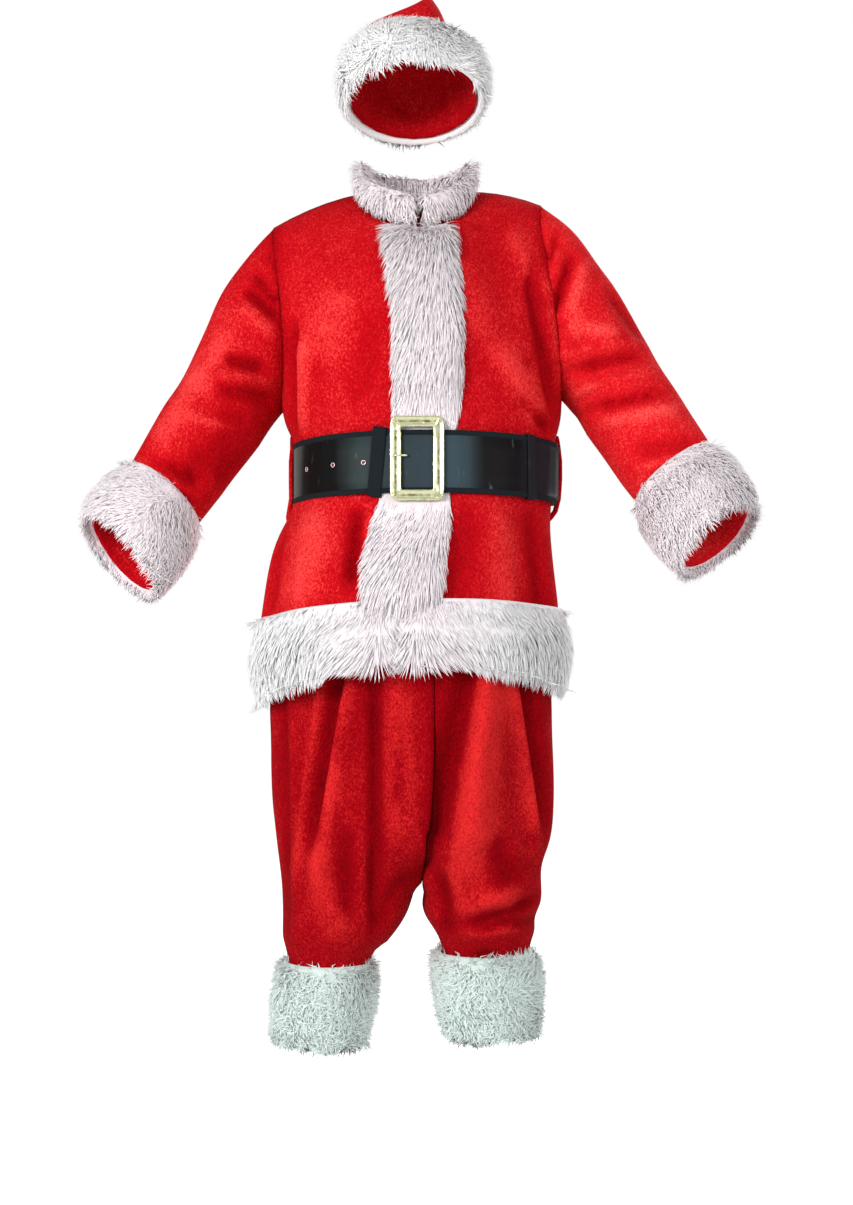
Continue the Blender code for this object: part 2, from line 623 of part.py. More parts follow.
# ---------------------------------------------------------------- the jacket
def jacket_surface():
    """The folded outer cloth of the jacket as named grids, with their normals."""
    grids = {
        "jacket_front_left": torso_quarter(1, True),
        "jacket_back": np.concatenate(
            (torso_quarter(1, False)[:, ::-1], torso_quarter(-1, False)[:, 1:]), axis=1
        ),
        "jacket_front_right": torso_quarter(-1, True)[:, ::-1],
        "sleeve_right": sleeve_grid(-1),
        "sleeve_left": sleeve_grid(1),
    }
    for name in ("sleeve_right", "sleeve_left"):
        grids[name] = np.concatenate((grids[name], grids[name][:, :1]), axis=1)
    sides = [-1 if name == "sleeve_left" else 1 for name in grids]
    tables = {"sleeve_right": RIGHT_SLEEVE_FOLDS, "sleeve_left": LEFT_SLEEVE_FOLDS}
    normals = welded_normals(zip(grids.values(), sides))
    for name, normal in zip(list(grids), normals):
        height = fold_offset(grids[name], tables.get(name, TORSO_FOLDS))
        if name in tables:
            height *= np.linspace(0.0, 4.0, SLEEVE_RINGS + 1).clip(0.0, 1.0)[:, None]
        else:
            height *= off_seams(grids[name].shape[1])
            height[BELT_ROWS[0]:BELT_ROWS[1] + 1] = 0.0
            height[ARMPIT_ROW:, (0, -1)] = 0.0
        grids[name] = grids[name] + normal * height[..., None]
    normals = dict(zip(grids, welded_normals(zip(grids.values(), sides))))
    grids["sleeve_right"] = grids["sleeve_right"] - np.array((2 * SEAM, 0.0, 0.0))
    grids["sleeve_left"] = grids["sleeve_left"] + np.array((2 * SEAM, 0.0, 0.0))
    return grids, normals


def off_seams(columns):
    """Folds die out at the seams on both sides of a panel."""
    from_edge = np.minimum(np.arange(columns), np.arange(columns)[::-1])
    return np.clip(from_edge / 2, 0.0, 1.0)


def build_jacket_cloth(grids, normals, plush, collection):
    for name, grid in grids.items():
        inner = grid - normals[name] * CLOTH
        if name.startswith("sleeve"):
            walls = (layer[:, :-1] for layer in (grid, inner))
            panel_solid(name, *walls, plush, collection, around=True)
        else:
            walls = (drawn_in(layer, ("start", "end", "top")) for layer in (grid, inner))
            panel_solid(name, *walls, plush, collection)


def torso_ring(layer):
    """The whole torso, from the opening round the wearer's left and back."""
    return np.concatenate(
        (layer["jacket_front_left"], layer["jacket_back"][:, 1:], layer["jacket_front_right"][:, 1:]),
        axis=1,
    )


def build_front_band(grids, normals, fur, collection):
    """A strip of long fur over the opening, crushed flat under the belt."""
    left, right = slice(0, BAND_COLUMNS + 1), slice(-BAND_COLUMNS - 1, -1)
    fronts = (grids["jacket_front_right"][:, right], grids["jacket_front_left"][:, left])
    base = np.concatenate(fronts, axis=1)
    normal = np.concatenate(
        (normals["jacket_front_right"][:, right], normals["jacket_front_left"][:, left]), axis=1
    )
    base[-1] -= BAND_TOP * unit(base[-1] - base[-2])
    base[-1] += CLEAR * normal[-1]
    base[HEM_FUR_ROW] += 2 * CLEAR * unit(base[HEM_FUR_ROW + 1] - base[HEM_FUR_ROW])
    across = unit(base[:, -1:] - base[:, :1])
    rings = []
    for row in range(HEM_FUR_ROW, len(base)):
        from_belt = max(BELT_ROWS[0] - row, row - BELT_ROWS[1], 0)
        crush = BAND_CRUSH[min(from_belt, len(BAND_CRUSH) - 1)]
        height = crush["above" if row > BELT_ROWS[1] else "below"]
        spread = crush["spread"]
        height = 0.006 if row == len(base) - 1 else height
        profile = height * np.array((0.45, 0.95, 1.0, 0.95, 0.45)) * tufts((len(base), 5))[row]
        profile = np.maximum(profile, 3 * CLEAR)
        overhang = spread * np.array((-1.0, -0.3, 0.0, 0.3, 1.0))
        pile = base[row] + normal[row] * profile[:, None] + across[row] * overhang[:, None]
        rings.append(np.concatenate((base[row] + normal[row] * CLEAR, pile[::-1])))
    ring_solid("front_band_fur", np.array(rings), fur, collection)


def build_hem_band(grids, normals, fur, collection):
    """Fur round the hem, in one strip whose ends meet at the opening."""
    rows = slice(0, HEM_FUR_ROW + 1)
    base = drawn_in(torso_ring(grids)[rows], ("start", "end"))
    rings = edge_fur(base, torso_ring(normals)[rows], (0.021, 0.024, 0.022, 0.011), FUR_DROP)
    ring_solid("hem_band_fur", rings.transpose(1, 0, 2), fur, collection)


def build_cuffs(grids, normals, fur, collection):
    for name in ("right", "left"):
        sleeve = grids["sleeve_" + name][CUFF_RING:, :-1][::-1]
        normal = normals["sleeve_" + name][CUFF_RING:, :-1][::-1]
        rings = edge_fur(sleeve, normal, (0.022, 0.024, 0.023, 0.019, 0.010), FUR_DROP)
        ring_solid("cuff_fur_" + name, rings, fur, collection, closed=True)


def build_collar(grids, fur, collection):
    """A stand-up collar of fur on the neckline, open where the fronts meet."""
    neck = len(grids["jacket_back"][0]) - SHOULDER_COLUMNS
    line = np.concatenate((
        grids["jacket_front_left"][-1, :FRONT_COLUMNS - SHOULDER_COLUMNS + 1],
        grids["jacket_back"][-1, SHOULDER_COLUMNS + 1:neck],
        grids["jacket_front_right"][-1, SHOULDER_COLUMNS + 1:],
    ))
    line[0, 0] += COLLAR_GAP / 2
    line[-1, 0] -= COLLAR_GAP / 2
    way = np.gradient(line, axis=0)
    way[[0, -1], 1] = 0.0
    way[:, 2] = 0.0
    out = np.stack((way[:, 1], -way[:, 0], np.zeros(len(way))), axis=1)
    out /= np.linalg.norm(out, axis=1, keepdims=True)
    outline = rows_of("out up", (
        (-0.35, 0.00), (0.10, 0.00), (0.60, 0.18), (0.66, 0.60),
        (0.45, 0.95), (0.05, 1.00), (-0.28, 0.88), (-0.34, 0.45),
    ))
    uneven = tufts((len(outline), len(line)))
    rings = []
    for corner, size in zip(outline, uneven):
        up = 0.0012 + corner["up"] * COLLAR_HEIGHT * (size if corner["up"] else 1.0)
        raised = np.outer(up * np.ones(len(line)), (0, 0, 1))
        rings.append(line + out * corner["out"] * COLLAR_THICK + raised)
    ring_solid("collar_fur", np.array(rings).transpose(1, 0, 2), fur, collection)


# ---------------------------------------------------------------- the belt
def belt_frame(grids, normals, column):
    """Foot and head of the jacket under the belt at a column, and its normal."""
    ring = torso_ring(grids)
    count = ring.shape[1] - 1
    low = int(math.floor(column)) % count
    share = column - math.floor(column)
    foot, head = ((1 - share) * ring[row, low] + share * ring[row, low + 1] for row in BELT_ROWS)
    normal = torso_ring(normals)[sum(BELT_ROWS) // 2, low].copy()
    if share > 0:
        chord = ring[BELT_ROWS, low + 1].mean(axis=0) - ring[BELT_ROWS, low].mean(axis=0)
        normal = np.array((chord[1], -chord[0], 0.0))
    normal[2] = 0.0
    return foot, head, normal / np.linalg.norm(normal)


def belt_lift(column):
    """How far the belt's back lies off the jacket at a column."""
    share = np.clip((column - BELT_RISE[0]) / (BELT_RISE[1] - BELT_RISE[0]), 0.0, 1.0)
    return BELT_INNER + (BELT_OUTER - BELT_INNER) * share


def build_belt(grids, normals, leather, collection):
    """One strap, bound along both edges, that crosses over its own hidden end."""
    columns = np.append(np.arange(BELT_START, BELT_TIP), BELT_TIP)
    rings = []
    for column in columns:
        foot, head, normal = belt_frame(grids, normals, column)
        height = np.linalg.norm(head - foot)
        share = np.interp(column, (BELT_TIP - 1.5, BELT_TIP - 0.5, BELT_TIP), TIP_HEIGHTS)
        edge, bound = 0.5 - 0.5 * share, BINDING / height
        back = belt_lift(column)
        front = back + BELT_THICK
        profile = (
            (edge, back),
            (edge, front),
            (edge + bound * share, front),
            (edge + 1.1 * bound * share, front - BELT_RECESS),
            (1 - edge - 1.1 * bound * share, front - BELT_RECESS),
            (1 - edge - bound * share, front),
            (1 - edge, front),
            (1 - edge, back),
        )
        rings.append([foot + (head - foot) * up + normal * off for up, off in profile])
    ring_solid("belt_strap", np.array(rings), leather, collection)


def column_at(grids, x, start):
    """The column at which the front of the belt passes x, past `start`."""
    ring = torso_ring(grids)[sum(BELT_ROWS) // 2, start:start + FRONT_COLUMNS + 1]
    return float(np.interp(x, ring[:, 0], np.arange(start, start + len(ring))))


def build_keeper(name, frame, keeper, leather, collection):
    """A flat loop of leather round the belt."""
    foot, head, normal = frame
    height = np.linalg.norm(head - foot)
    up = (head - foot) / height
    along = np.cross(normal, up)
    low, high = -keeper["below"], height + keeper["above"]
    thick = KEEPER_THICK
    corners = (
        (keeper["back_low"], low, 1, 1),
        (keeper["front"], low, -1, 1),
        (keeper["front"], high, -1, -1),
        (keeper["back_high"], high, 1, -1),
    )
    rings = []
    for off, rise, inwards, upwards in corners:
        outside = (off, rise)
        inside = (off + inwards * thick, rise + upwards * thick)
        ring = []
        for (off_at, up_at), end in ((outside, -1), (outside, 1), (inside, 1), (inside, -1)):
            side = end * keeper["width"] / 2 - keeper["lean"] * (up_at - height / 2)
            ring.append(foot + normal * off_at + up * up_at + along * side)
        rings.append(ring)
    ring_solid(name, np.array(rings), leather, collection, closed=True)


def build_belt_loop(name, grids, normals, column, cloth, collection):
    """A slack loop of plush, sewn above and below the belt at a side seam."""
    foot, head, normal = belt_frame(grids, normals, column)
    height = np.linalg.norm(head - foot)
    up = (head - foot) / height
    along = np.cross(up, normal)
    low = int(math.floor(column))
    share = column - low
    ring = torso_ring(grids)
    side = (1 - share) * ring[:, low] + share * ring[:, low + 1] - foot
    route = rows_of("gap up", (
        (0.0009, height + 0.014),
        (0.0050, height + 0.008),
        (0.0100, height - 0.002),
        (0.0125, 0.75 * height),
        (0.0130, 0.45 * height),
        (0.0120, 0.12 * height),
        (0.0090, -0.008),
        (0.0045, -0.016),
        (0.0009, -0.021),
    ))
    off = route["gap"] + np.interp(route["up"], side @ up, side @ normal)
    way = np.gradient(np.stack((off, route["up"]), axis=1), axis=0)
    way /= np.linalg.norm(way, axis=1, keepdims=True)
    rings = []
    for off_at, up_at, (way_off, way_up) in zip(off, route["up"], way):
        middle = foot + normal * off_at + up * up_at
        outward = (normal * -way_up + up * way_off) * LOOP_THICK
        half = along * LOOP_WIDTH / 2
        rings.append((middle - half, middle + half, middle + half + outward, middle - half + outward))
    ring_solid(name, np.array(rings), cloth, collection)


def rounded_outline(width, height, radius):
    """Corners of a rounded rectangle about the origin, as x and y."""
    points = []
    for turn, (x, y) in enumerate(((1, 1), (-1, 1), (-1, -1), (1, -1))):
        for step in range(4):
            angle = math.radians(90 * turn + 30 * step)
            points.append((
                x * (width / 2 - radius) + radius * math.cos(angle),
                y * (height / 2 - radius) + radius * math.sin(angle),
            ))
    return points


def build_buckle(y_back, gold, collection):
    """A flat frame with softened edges, and the prong over its right bar."""
    outline = bpy.data.curves.new("buckle_frame", "CURVE")
    outline.dimensions = "2D"
    outline.fill_mode = "BOTH"
    outline.extrude = BUCKLE_THICK / 2 - BUCKLE_BEVEL
    outline.bevel_depth = BUCKLE_BEVEL
    outline.bevel_resolution = 1
    outline.offset = -BUCKLE_BEVEL
    for (width, height), radius in ((BUCKLE_SIZE, 0.007), (BUCKLE_HOLE, 0.004)):
        corners = rounded_outline(width, height, radius)
        spline = outline.splines.new("POLY")
        spline.points.add(len(corners) - 1)
        for point, (x, y) in zip(spline.points, corners):
            point.co = (x, y, 0.0, 1.0)
        spline.use_cyclic_u = True
    outline.materials.append(gold)
    frame = bpy.data.objects.new("buckle_frame", outline)
    frame.location = (BUCKLE_PLACE[0], y_back - BUCKLE_THICK / 2, BUCKLE_PLACE[1])
    frame.rotation_euler = (math.radians(90), 0.0, 0.0)
    collection.objects.link(frame)

    bar = BUCKLE_PLACE[0] - (BUCKLE_SIZE[0] + BUCKLE_HOLE[0]) / 4
    inside = BUCKLE_PLACE[0] - BUCKLE_HOLE[0] / 2
    front = y_back - BUCKLE_THICK - 0.0003 - PRONG_RADIUS
    rest = y_back - 0.0004 - PRONG_RADIUS
    middle = (front + rest) / 2
    route = ((bar - 0.004, front), (inside, front), (inside + 0.004, middle), (inside + 0.008, rest))
    rod = bpy.data.curves.new("buckle_prong", "CURVE")
    rod.dimensions = "3D"
    rod.bevel_depth = PRONG_RADIUS
    rod.bevel_resolution = 2
    rod.use_fill_caps = True
    spline = rod.splines.new("POLY")
    spline.points.add(len(route) - 1)
    for point, (x, y) in zip(spline.points, route):
        point.co = (x, y, BUCKLE_PLACE[1] + 0.004, 1.0)
    rod.materials.append(gold)
    collection.objects.link(bpy.data.objects.new("buckle_prong", rod))


def build_eyelets(grids, normals, silver, collection):
    """Three metal rims on the belt, right of the buckle."""
    for number, x in enumerate(EYELETS, start=1):
        column = column_at(grids, x, FRONT_COLUMNS + 2 * BACK_COLUMNS)
        foot, head, normal = belt_frame(grids, normals, column)
        minor = EYELET_RADIUS * 0.3
        off = belt_lift(column) + BELT_THICK - BELT_RECESS + minor + CLEAR
        place = (foot + head) / 2 + normal * off
        bpy.ops.mesh.primitive_torus_add(
            location=place.tolist(),
            rotation=(math.radians(90), 0.0, math.atan2(normal[0], -normal[1])),
            major_radius=EYELET_RADIUS,
            minor_radius=minor,
            major_segments=10,
            minor_segments=4,
        )
        eyelet = bpy.context.object
        eyelet.name = f"belt_eyelet_{number}"
        eyelet.data.materials.append(silver)
        for holder in list(eyelet.users_collection):
            holder.objects.unlink(eyelet)
        collection.objects.link(eyelet)


# ---------------------------------------------------------------- the trousers
def build_trousers(plush, fur, collection):
    names = (
        ("trouser_front_right", -1, True),
        ("trouser_back_right", -1, False),
        ("trouser_front_left", 1, True),
        ("trouser_back_left", 1, False),
    )
    grids = [leg_panel(side, front) for _, side, front in names]
    sides = [side if front else -side for _, side, front in names]
    normals = welded_normals(zip(grids, sides))
    folded = []
    for (_, _, front), grid, normal in zip(names, grids, normals):
        start = HEM_FRONT if front else HEM_BACK
        below_hem = np.clip((start - grid[..., 2]) / 0.06, 0.0, 1.0)
        height = fold_offset(grid, LEG_FOLDS) * off_seams(grid.shape[1]) * below_hem
        height[LEG_FUR_ROW:] = 0.0
        folded.append(grid + normal * height[..., None])
    normals = welded_normals(zip(folded, sides))
    folded = [grid + np.array((side * SEAM, 0.0, 0.0)) for (_, side, _), grid in zip(names, folded)]
    for (name, _, _), grid, normal in zip(names, folded, normals):
        walls = (drawn_in(layer, ("start", "end")) for layer in (grid, grid - normal * CLOTH))
        panel_solid(name, *walls, plush, collection)
    for name, front, back in (("right", 0, 1), ("left", 2, 3)):
        rows = slice(LEG_FUR_ROW, None)
        base = np.concatenate((folded[front][rows], folded[back][rows, -2:0:-1]), axis=1)[::-1]
        normal = np.concatenate((normals[front][rows], normals[back][rows, -2:0:-1]), axis=1)[::-1]
        rings = edge_fur(base, normal, (0.021, 0.023, 0.023, 0.017), FUR_DROP)
        ring_solid("leg_cuff_fur_" + name, rings, fur, collection, closed=True)


def build_waistband(grids, normals, plush, collection):
    """The trousers' waistband, which the belt presses against the jacket."""
    rows = slice(BELT_ROWS[0] + 1, BELT_ROWS[1] + 1)
    ring = torso_ring(grids)[rows, :-1:2]
    normal = torso_ring(normals)[rows, :-1:2]
    outer = ring - normal * (CLOTH + CLEAR)
    panel_solid("trouser_waistband", outer, outer - normal * WAISTBAND_THICK, plush, collection, around=True)


# ---------------------------------------------------------------- the hat
def build_hat(plush, fur, collection):
    """A soft cap that tips over behind, its brim of fur and its pompom."""
    angle = np.linspace(0.0, 2 * math.pi, HAT_COLUMNS + 1)[:, None]
    rings = []
    for ring in HAT:
        tip = math.radians(ring["tip"])
        forward = np.array((0.0, -math.cos(tip), math.sin(tip)))
        wide = np.array((1.0, 0.0, 0.0))
        middle = np.array((ring["x"], ring["y"], ring["z"]))
        rings.append(middle - wide * ring["wide"] * np.cos(angle) + forward * ring["deep"] * np.sin(angle))
    grid = np.array(rings)
    grid[:, -1] = grid[:, 0]
    normals = welded_normals(((grid, 1),))[0]
    outer, normal = grid[:, :-1], normals[:, :-1]
    inner = outer - normal * CLOTH
    ring_solid("hat_crown", np.concatenate((inner[::-1], outer)), plush, collection)
    rows = slice(0, HAT_BRIM_ROW + 1)
    brim = edge_fur(outer[rows], normal[rows], (0.022, 0.024, 0.020, 0.010), 0.7 * FUR_DROP)
    ring_solid("hat_brim_fur", brim, fur, collection, closed=True)

    ball = bmesh.new()
    bmesh.ops.create_icosphere(ball, subdivisions=3, radius=POMPOM_RADIUS)
    for vertex in ball.verts:
        x, y, z = vertex.co * 90
        vertex.co *= 1.0 + 0.05 * (math.sin(3 * x + y) + math.sin(2 * y - 3 * z))
        vertex.co += type(vertex.co)(POMPOM_CENTRE)
    mesh = bpy.data.meshes.new("hat_pompom")
    ball.to_mesh(mesh)
    ball.free()
    add_object("hat_pompom", mesh, fur, collection)


def main():
    for old in list(bpy.data.objects):
        bpy.data.objects.remove(old, do_unlink=True)
    collection = bpy.data.collections.new("santa_suit")
    bpy.context.scene.collection.children.link(collection)
    plush = material("red_plush", RED, 0.9)
    fur = material("long_fur", FUR, 0.95)
    leather = material("black_leather", BLACK, 0.35)
    gold = material("pale_gold", GOLD, 0.3, 1.0)
    silver = material("eyelet_metal", SILVER, 0.3, 1.0)

    grids, normals = jacket_surface()
    build_jacket_cloth(grids, normals, plush, collection)
    build_front_band(grids, normals, fur, collection)
    build_hem_band(grids, normals, fur, collection)
    build_cuffs(grids, normals, fur, collection)
    build_collar(grids, fur, collection)

    build_belt(grids, normals, leather, collection)
    build_eyelets(grids, normals, silver, collection)
    right_seam = FRONT_COLUMNS + 2 * BACK_COLUMNS
    for name, keeper, start in zip(("buckle", "tip"), KEEPERS, (right_seam, 0)):
        column = math.floor(column_at(grids, keeper["x"], start)) + 0.5
        frame = belt_frame(grids, normals, column)
        build_keeper("belt_keeper_" + name, frame, keeper, leather, collection)
    build_belt_loop("belt_loop_left", grids, normals, FRONT_COLUMNS + 0.5, plush, collection)
    build_belt_loop("belt_loop_right", grids, normals, right_seam - 0.5, plush, collection)
    belly = torso_ring(grids)[BELT_ROWS[0]:BELT_ROWS[1] + 1, :, 1].min()
    build_buckle(belly - BELT_OUTER - BELT_THICK - 0.0004, gold, collection)

    build_waistband(grids, normals, plush, collection)
    build_trousers(plush, fur, collection)
    build_hat(plush, fur, collection)


main()
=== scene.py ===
import math
from functools import partial

import bmesh
import bpy
import numpy as np
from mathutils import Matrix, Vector, noise
from mathutils.bvhtree import BVHTree
from mathutils.kdtree import KDTree


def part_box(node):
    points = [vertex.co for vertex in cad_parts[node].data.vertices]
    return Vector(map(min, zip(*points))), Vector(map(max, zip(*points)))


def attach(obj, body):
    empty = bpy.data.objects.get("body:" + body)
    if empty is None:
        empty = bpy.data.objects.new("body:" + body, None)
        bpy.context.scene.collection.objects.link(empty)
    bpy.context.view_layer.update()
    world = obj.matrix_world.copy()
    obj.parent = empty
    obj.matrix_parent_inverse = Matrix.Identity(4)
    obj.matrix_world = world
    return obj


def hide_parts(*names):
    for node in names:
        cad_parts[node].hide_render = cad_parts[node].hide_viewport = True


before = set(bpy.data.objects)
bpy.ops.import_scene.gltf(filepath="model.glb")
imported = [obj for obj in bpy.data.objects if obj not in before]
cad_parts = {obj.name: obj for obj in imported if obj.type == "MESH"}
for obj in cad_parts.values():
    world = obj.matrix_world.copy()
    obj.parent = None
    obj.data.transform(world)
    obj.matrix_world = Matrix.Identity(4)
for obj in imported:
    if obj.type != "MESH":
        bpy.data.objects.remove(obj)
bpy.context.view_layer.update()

# ------------------------------------------------------------ the studio
# A pale floor under the suit and soft light from the front, a little
# stronger from the suit's right side, with a level camera at its waist.
FLOOR_HEIGHT = -1.52
FLOOR_SIZE = 40
WHITE = (1, 1, 1, 1)
scene = bpy.context.scene
scene.view_settings.view_transform = "Standard"


def wire(tree, node, links):
    """Sets or links a node's sockets, each by name or number.

    A node in place of a socket stands for its first output.
    """
    for socket, value in links:
        if isinstance(value, bpy.types.Node):
            value = value.outputs[0]
        if isinstance(value, bpy.types.NodeSocket):
            tree.links.new(value, node.inputs[socket])
        else:
            node.inputs[socket].default_value = value


def add(tree, kind, links=(), **values):
    """A shader node with its properties and sockets set."""
    node = tree.nodes.new("ShaderNode" + kind)
    for key, value in values.items():
        setattr(node, key, value)
    wire(tree, node, links)
    return node


def object_place(tree):
    return add(tree, "TexCoord").outputs["Object"]


def noisy(tree, place, scale, detail=2.0, rough=0.5, bent=0.0):
    return add(tree, "TexNoise", (
        ("Vector", place), ("Scale", scale), ("Detail", detail), ("Roughness", rough), ("Distortion", bent)))


def span(tree, value, start=0.0, end=1.0, low=0.0, high=1.0):
    """Value stretched from one range to another and kept inside it."""
    return add(tree, "MapRange", (
        ("Value", value), ("From Min", start), ("From Max", end), ("To Min", low), ("To Max", high)))


def new_material(name):
    """A material, its node tree and the shader in it."""
    made = bpy.data.materials.new(name)
    made.use_nodes = True
    return made, made.node_tree, made.node_tree.nodes["Principled BSDF"]


bpy.ops.object.select_all(action="DESELECT")
bpy.ops.mesh.primitive_plane_add(size=FLOOR_SIZE, location=(0, 0, FLOOR_HEIGHT))
floor = bpy.context.object
floor.name = "floor"
bpy.ops.object.transform_apply(location=True, rotation=True, scale=True)
pale, tree, shader = new_material("pale floor")
seen = add(tree, "LightPath").outputs["Is Camera Ray"]
wire(tree, shader, (
    ("Base Color", (0.5, 0.5, 0.5, 1)), ("Roughness", 0.9), ("Emission Color", WHITE),
    ("Emission Strength", span(tree, seen, low=0.30, high=0.78))))
floor.data.materials.append(pale)

world = bpy.data.worlds.new("pale room")
scene.world = world
world.use_nodes = True
tree = world.node_tree
seen = add(tree, "LightPath").outputs["Is Camera Ray"]
wire(tree, tree.nodes["Background"], (("Color", WHITE), ("Strength", span(tree, seen, low=0.46))))

LAMPS = (
    # name, place, aimed at, size, watts
    ("key light", (-2.5, -3.4, 0.5), (0, 0, -0.5), 1.2, 158),
    ("fill light", (2.9, -2.8, 0.8), (0, 0, -0.5), 2.2, 58),
    ("back light", (1.6, 3.2, 1.6), (0, 0, -0.4), 2.0, 110),
)
for name, place, aim, size, watts in LAMPS:
    lamp = bpy.data.lights.new(name, "AREA")
    lamp.size = size
    lamp.energy = watts
    hung = bpy.data.objects.new(name, lamp)
    hung.location = place
    hung.rotation_euler = (Vector(aim) - Vector(place)).to_track_quat("-Z", "Y").to_euler()
    scene.collection.objects.link(hung)

CAMERA_AWAY = 3.3
CAMERA_ASIDE, CAMERA_HEIGHT = 0.017, -0.58
SENSOR = 36
SEEN_HEIGHT = 1205 * 0.0015
camera = bpy.data.objects.new("camera", bpy.data.cameras.new("camera"))
camera.location = (CAMERA_ASIDE, -CAMERA_AWAY, CAMERA_HEIGHT)
camera.rotation_euler = (math.pi / 2, 0, 0)
camera.data.sensor_width = SENSOR
camera.data.lens = SENSOR * CAMERA_AWAY / SEEN_HEIGHT
scene.collection.objects.link(camera)
scene.camera = camera

# ------------------------------------------------------------ the jacket
# Two fronts cut in one with the shoulders and a back, of red plush 2.5 mm
# thick with a knitted back, sewn at the sides and over the shoulders.
MERGE = 0.00001
STITCHED = 0.9
ALONG = 0.72
EASE_ROUNDS = 8
FOLD_SHADE = 100
UPWARDS = (0, 0, 1)
COAT_PANELS = ("jacket_front_right", "jacket_front_left", "jacket_back")
panels = {}


def only(piece):
    """Selects one piece alone and makes it the active one."""
    bpy.ops.object.select_all(action="DESELECT")
    piece.select_set(True)
    bpy.context.view_layer.objects.active = piece


def mode(name):
    bpy.ops.object.mode_set(mode=name)


def round_off(piece, rounds):
    rounding = piece.modifiers.new("rounding", "SUBSURF")
    rounding.levels = rounding.render_levels = rounds
    rounding.boundary_smooth = "PRESERVE_CORNERS"
    only(piece)
    bpy.ops.object.modifier_apply(modifier="rounding")
    bpy.ops.object.shade_smooth()


def cut_from(node, name, rounds, rim=50, crease=1.0):
    """A copy of a CAD wall, merged, turned to quads and rounded, its rims kept sharp."""
    piece = bpy.data.objects.new(name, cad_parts[node].data.copy())
    piece.data.name = name
    piece.data.materials.clear()
    scene.collection.objects.link(piece)
    only(piece)
    bpy.ops.mesh.customdata_custom_splitnormals_clear()
    mode("EDIT")
    bpy.ops.mesh.select_all(action="SELECT")
    bpy.ops.mesh.remove_doubles(threshold=MERGE)
    bpy.ops.mesh.mark_sharp(clear=True)
    bpy.ops.mesh.tris_convert_to_quads(
        face_threshold=math.radians(60), shape_threshold=math.radians(70))
    bpy.ops.mesh.select_all(action="DESELECT")
    bpy.ops.mesh.edges_select_sharp(sharpness=math.radians(rim))
    if crease:
        bpy.ops.transform.edge_crease(value=crease)
    mode("OBJECT")
    if rounds:
        round_off(piece, rounds)
    return piece


def stand_for(piece, node, slot, *finishes):
    """Gives a piece its materials and puts it in its CAD node's place."""
    for finish in finishes:
        piece.data.materials.append(finish)
    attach(piece, "root")
    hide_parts(node)


def points_of(piece, kind="co"):
    found = np.empty(len(piece.data.vertices) * 3)
    piece.data.vertices.foreach_get(kind, found)
    return found.reshape(-1, 3)


def normals_of(piece):
    return points_of(piece, "normal")


def put_points(piece, points):
    piece.data.vertices.foreach_set("co", points.ravel())
    piece.data.update()


def put_values(piece, name, values):
    """Stores a number for each point."""
    stored = piece.data.attributes
    layer = stored.get(name) or stored.new(name, "FLOAT", "POINT")
    layer.data.foreach_set("value", values)


def unit(rows):
    return rows / np.maximum(np.linalg.norm(rows, axis=-1, keepdims=True), 1e-9)


def soft(values, low, high):
    """0 under low, 1 over high, and smooth between."""
    share = np.clip((values - low) / (high - low), 0, 1)
    return share * share * (3 - 2 * share)


def hump(values, centre, breadth):
    """1 at the centre, and falling away on both sides of it."""
    return np.exp(-(((values - centre) / breadth) ** 2))


def nearest(points, targets):
    """The number of the target nearest to each point, and how far it is."""
    finder = KDTree(len(targets))
    for number, target in enumerate(targets):
        finder.insert(Vector(target), number)
    finder.balance()
    found = [finder.find(Vector(point))[1:] for point in points]
    return [np.array(column) for column in zip(*found)]


def line_of(*corners):
    """A line of points (x, y, z) given in millimetres."""
    return np.array(corners) / 1000


def along_line(points, line):
    """Nearest points on a line of rows (x, y, z)."""
    best, gap = None, None
    for start, end in zip(line[:-1], line[1:]):
        way = end - start
        share = np.clip(((points - start) @ way) / (way @ way), 0, 1)
        near = start + share[:, None] * way
        apart = np.linalg.norm(points - near, axis=1)
        if best is None:
            best, gap = near, apart
        else:
            closer = apart < gap
            best[closer], gap[closer] = near[closer], apart[closer]
    return best


def body_middle(points):
    """The axis of the body beside each point."""
    return points * (0, 0, 1)


def press(piece, folds, middle, face=-1):
    """Soft troughs and ridges, which move both walls of the cloth alike.

    A row in millimetres gives the fold's two ends as seen from the front,
    half its breadth on either side of its line, and its height. face is -1
    for the front of the suit and 1 for its back.
    """
    points = points_of(piece)
    out = unit(points - middle(points))
    facing = soft(face * out[:, 1], -0.05, 0.45)
    moved = np.zeros(len(points))
    for x0, z0, x1, z1, before, after, height in np.array(folds) / 1000:
        way = np.array((x1 - x0, z1 - z0))
        flat = points[:, (0, 2)] - (x0, z0)
        share = flat @ way / (way @ way)
        across = (flat[:, 0] * way[1] - flat[:, 1] * way[0]) / np.linalg.norm(way)
        breadth = np.where(across < 0, before, after)
        ends = soft(share, -0.12, 0.22) * (1 - soft(share, 0.78, 1.12))
        moved += height * ends * hump(across, 0, breadth)
    moved *= facing
    put_points(piece, points + out * moved[:, None])
    # The fold heights are kept for the plush as well, as painted light on ridges and painted shade in troughs.
    earlier = np.zeros(len(points))
    if "fold" in piece.data.attributes:
        piece.data.attributes["fold"].data.foreach_get("value", earlier)
    put_values(piece, "fold", earlier + moved * FOLD_SHADE)


def edges_of(piece):
    """Both ends of each edge, and whether it is a stitched rim."""
    shape = bmesh.new()
    shape.from_mesh(piece.data)
    rows = [(edge.verts[0].index, edge.verts[1].index,
             len(edge.link_faces) == 2 and edge.calc_face_angle() > STITCHED) for edge in shape.edges]
    shape.free()
    return [np.array(column) for column in zip(*rows)]


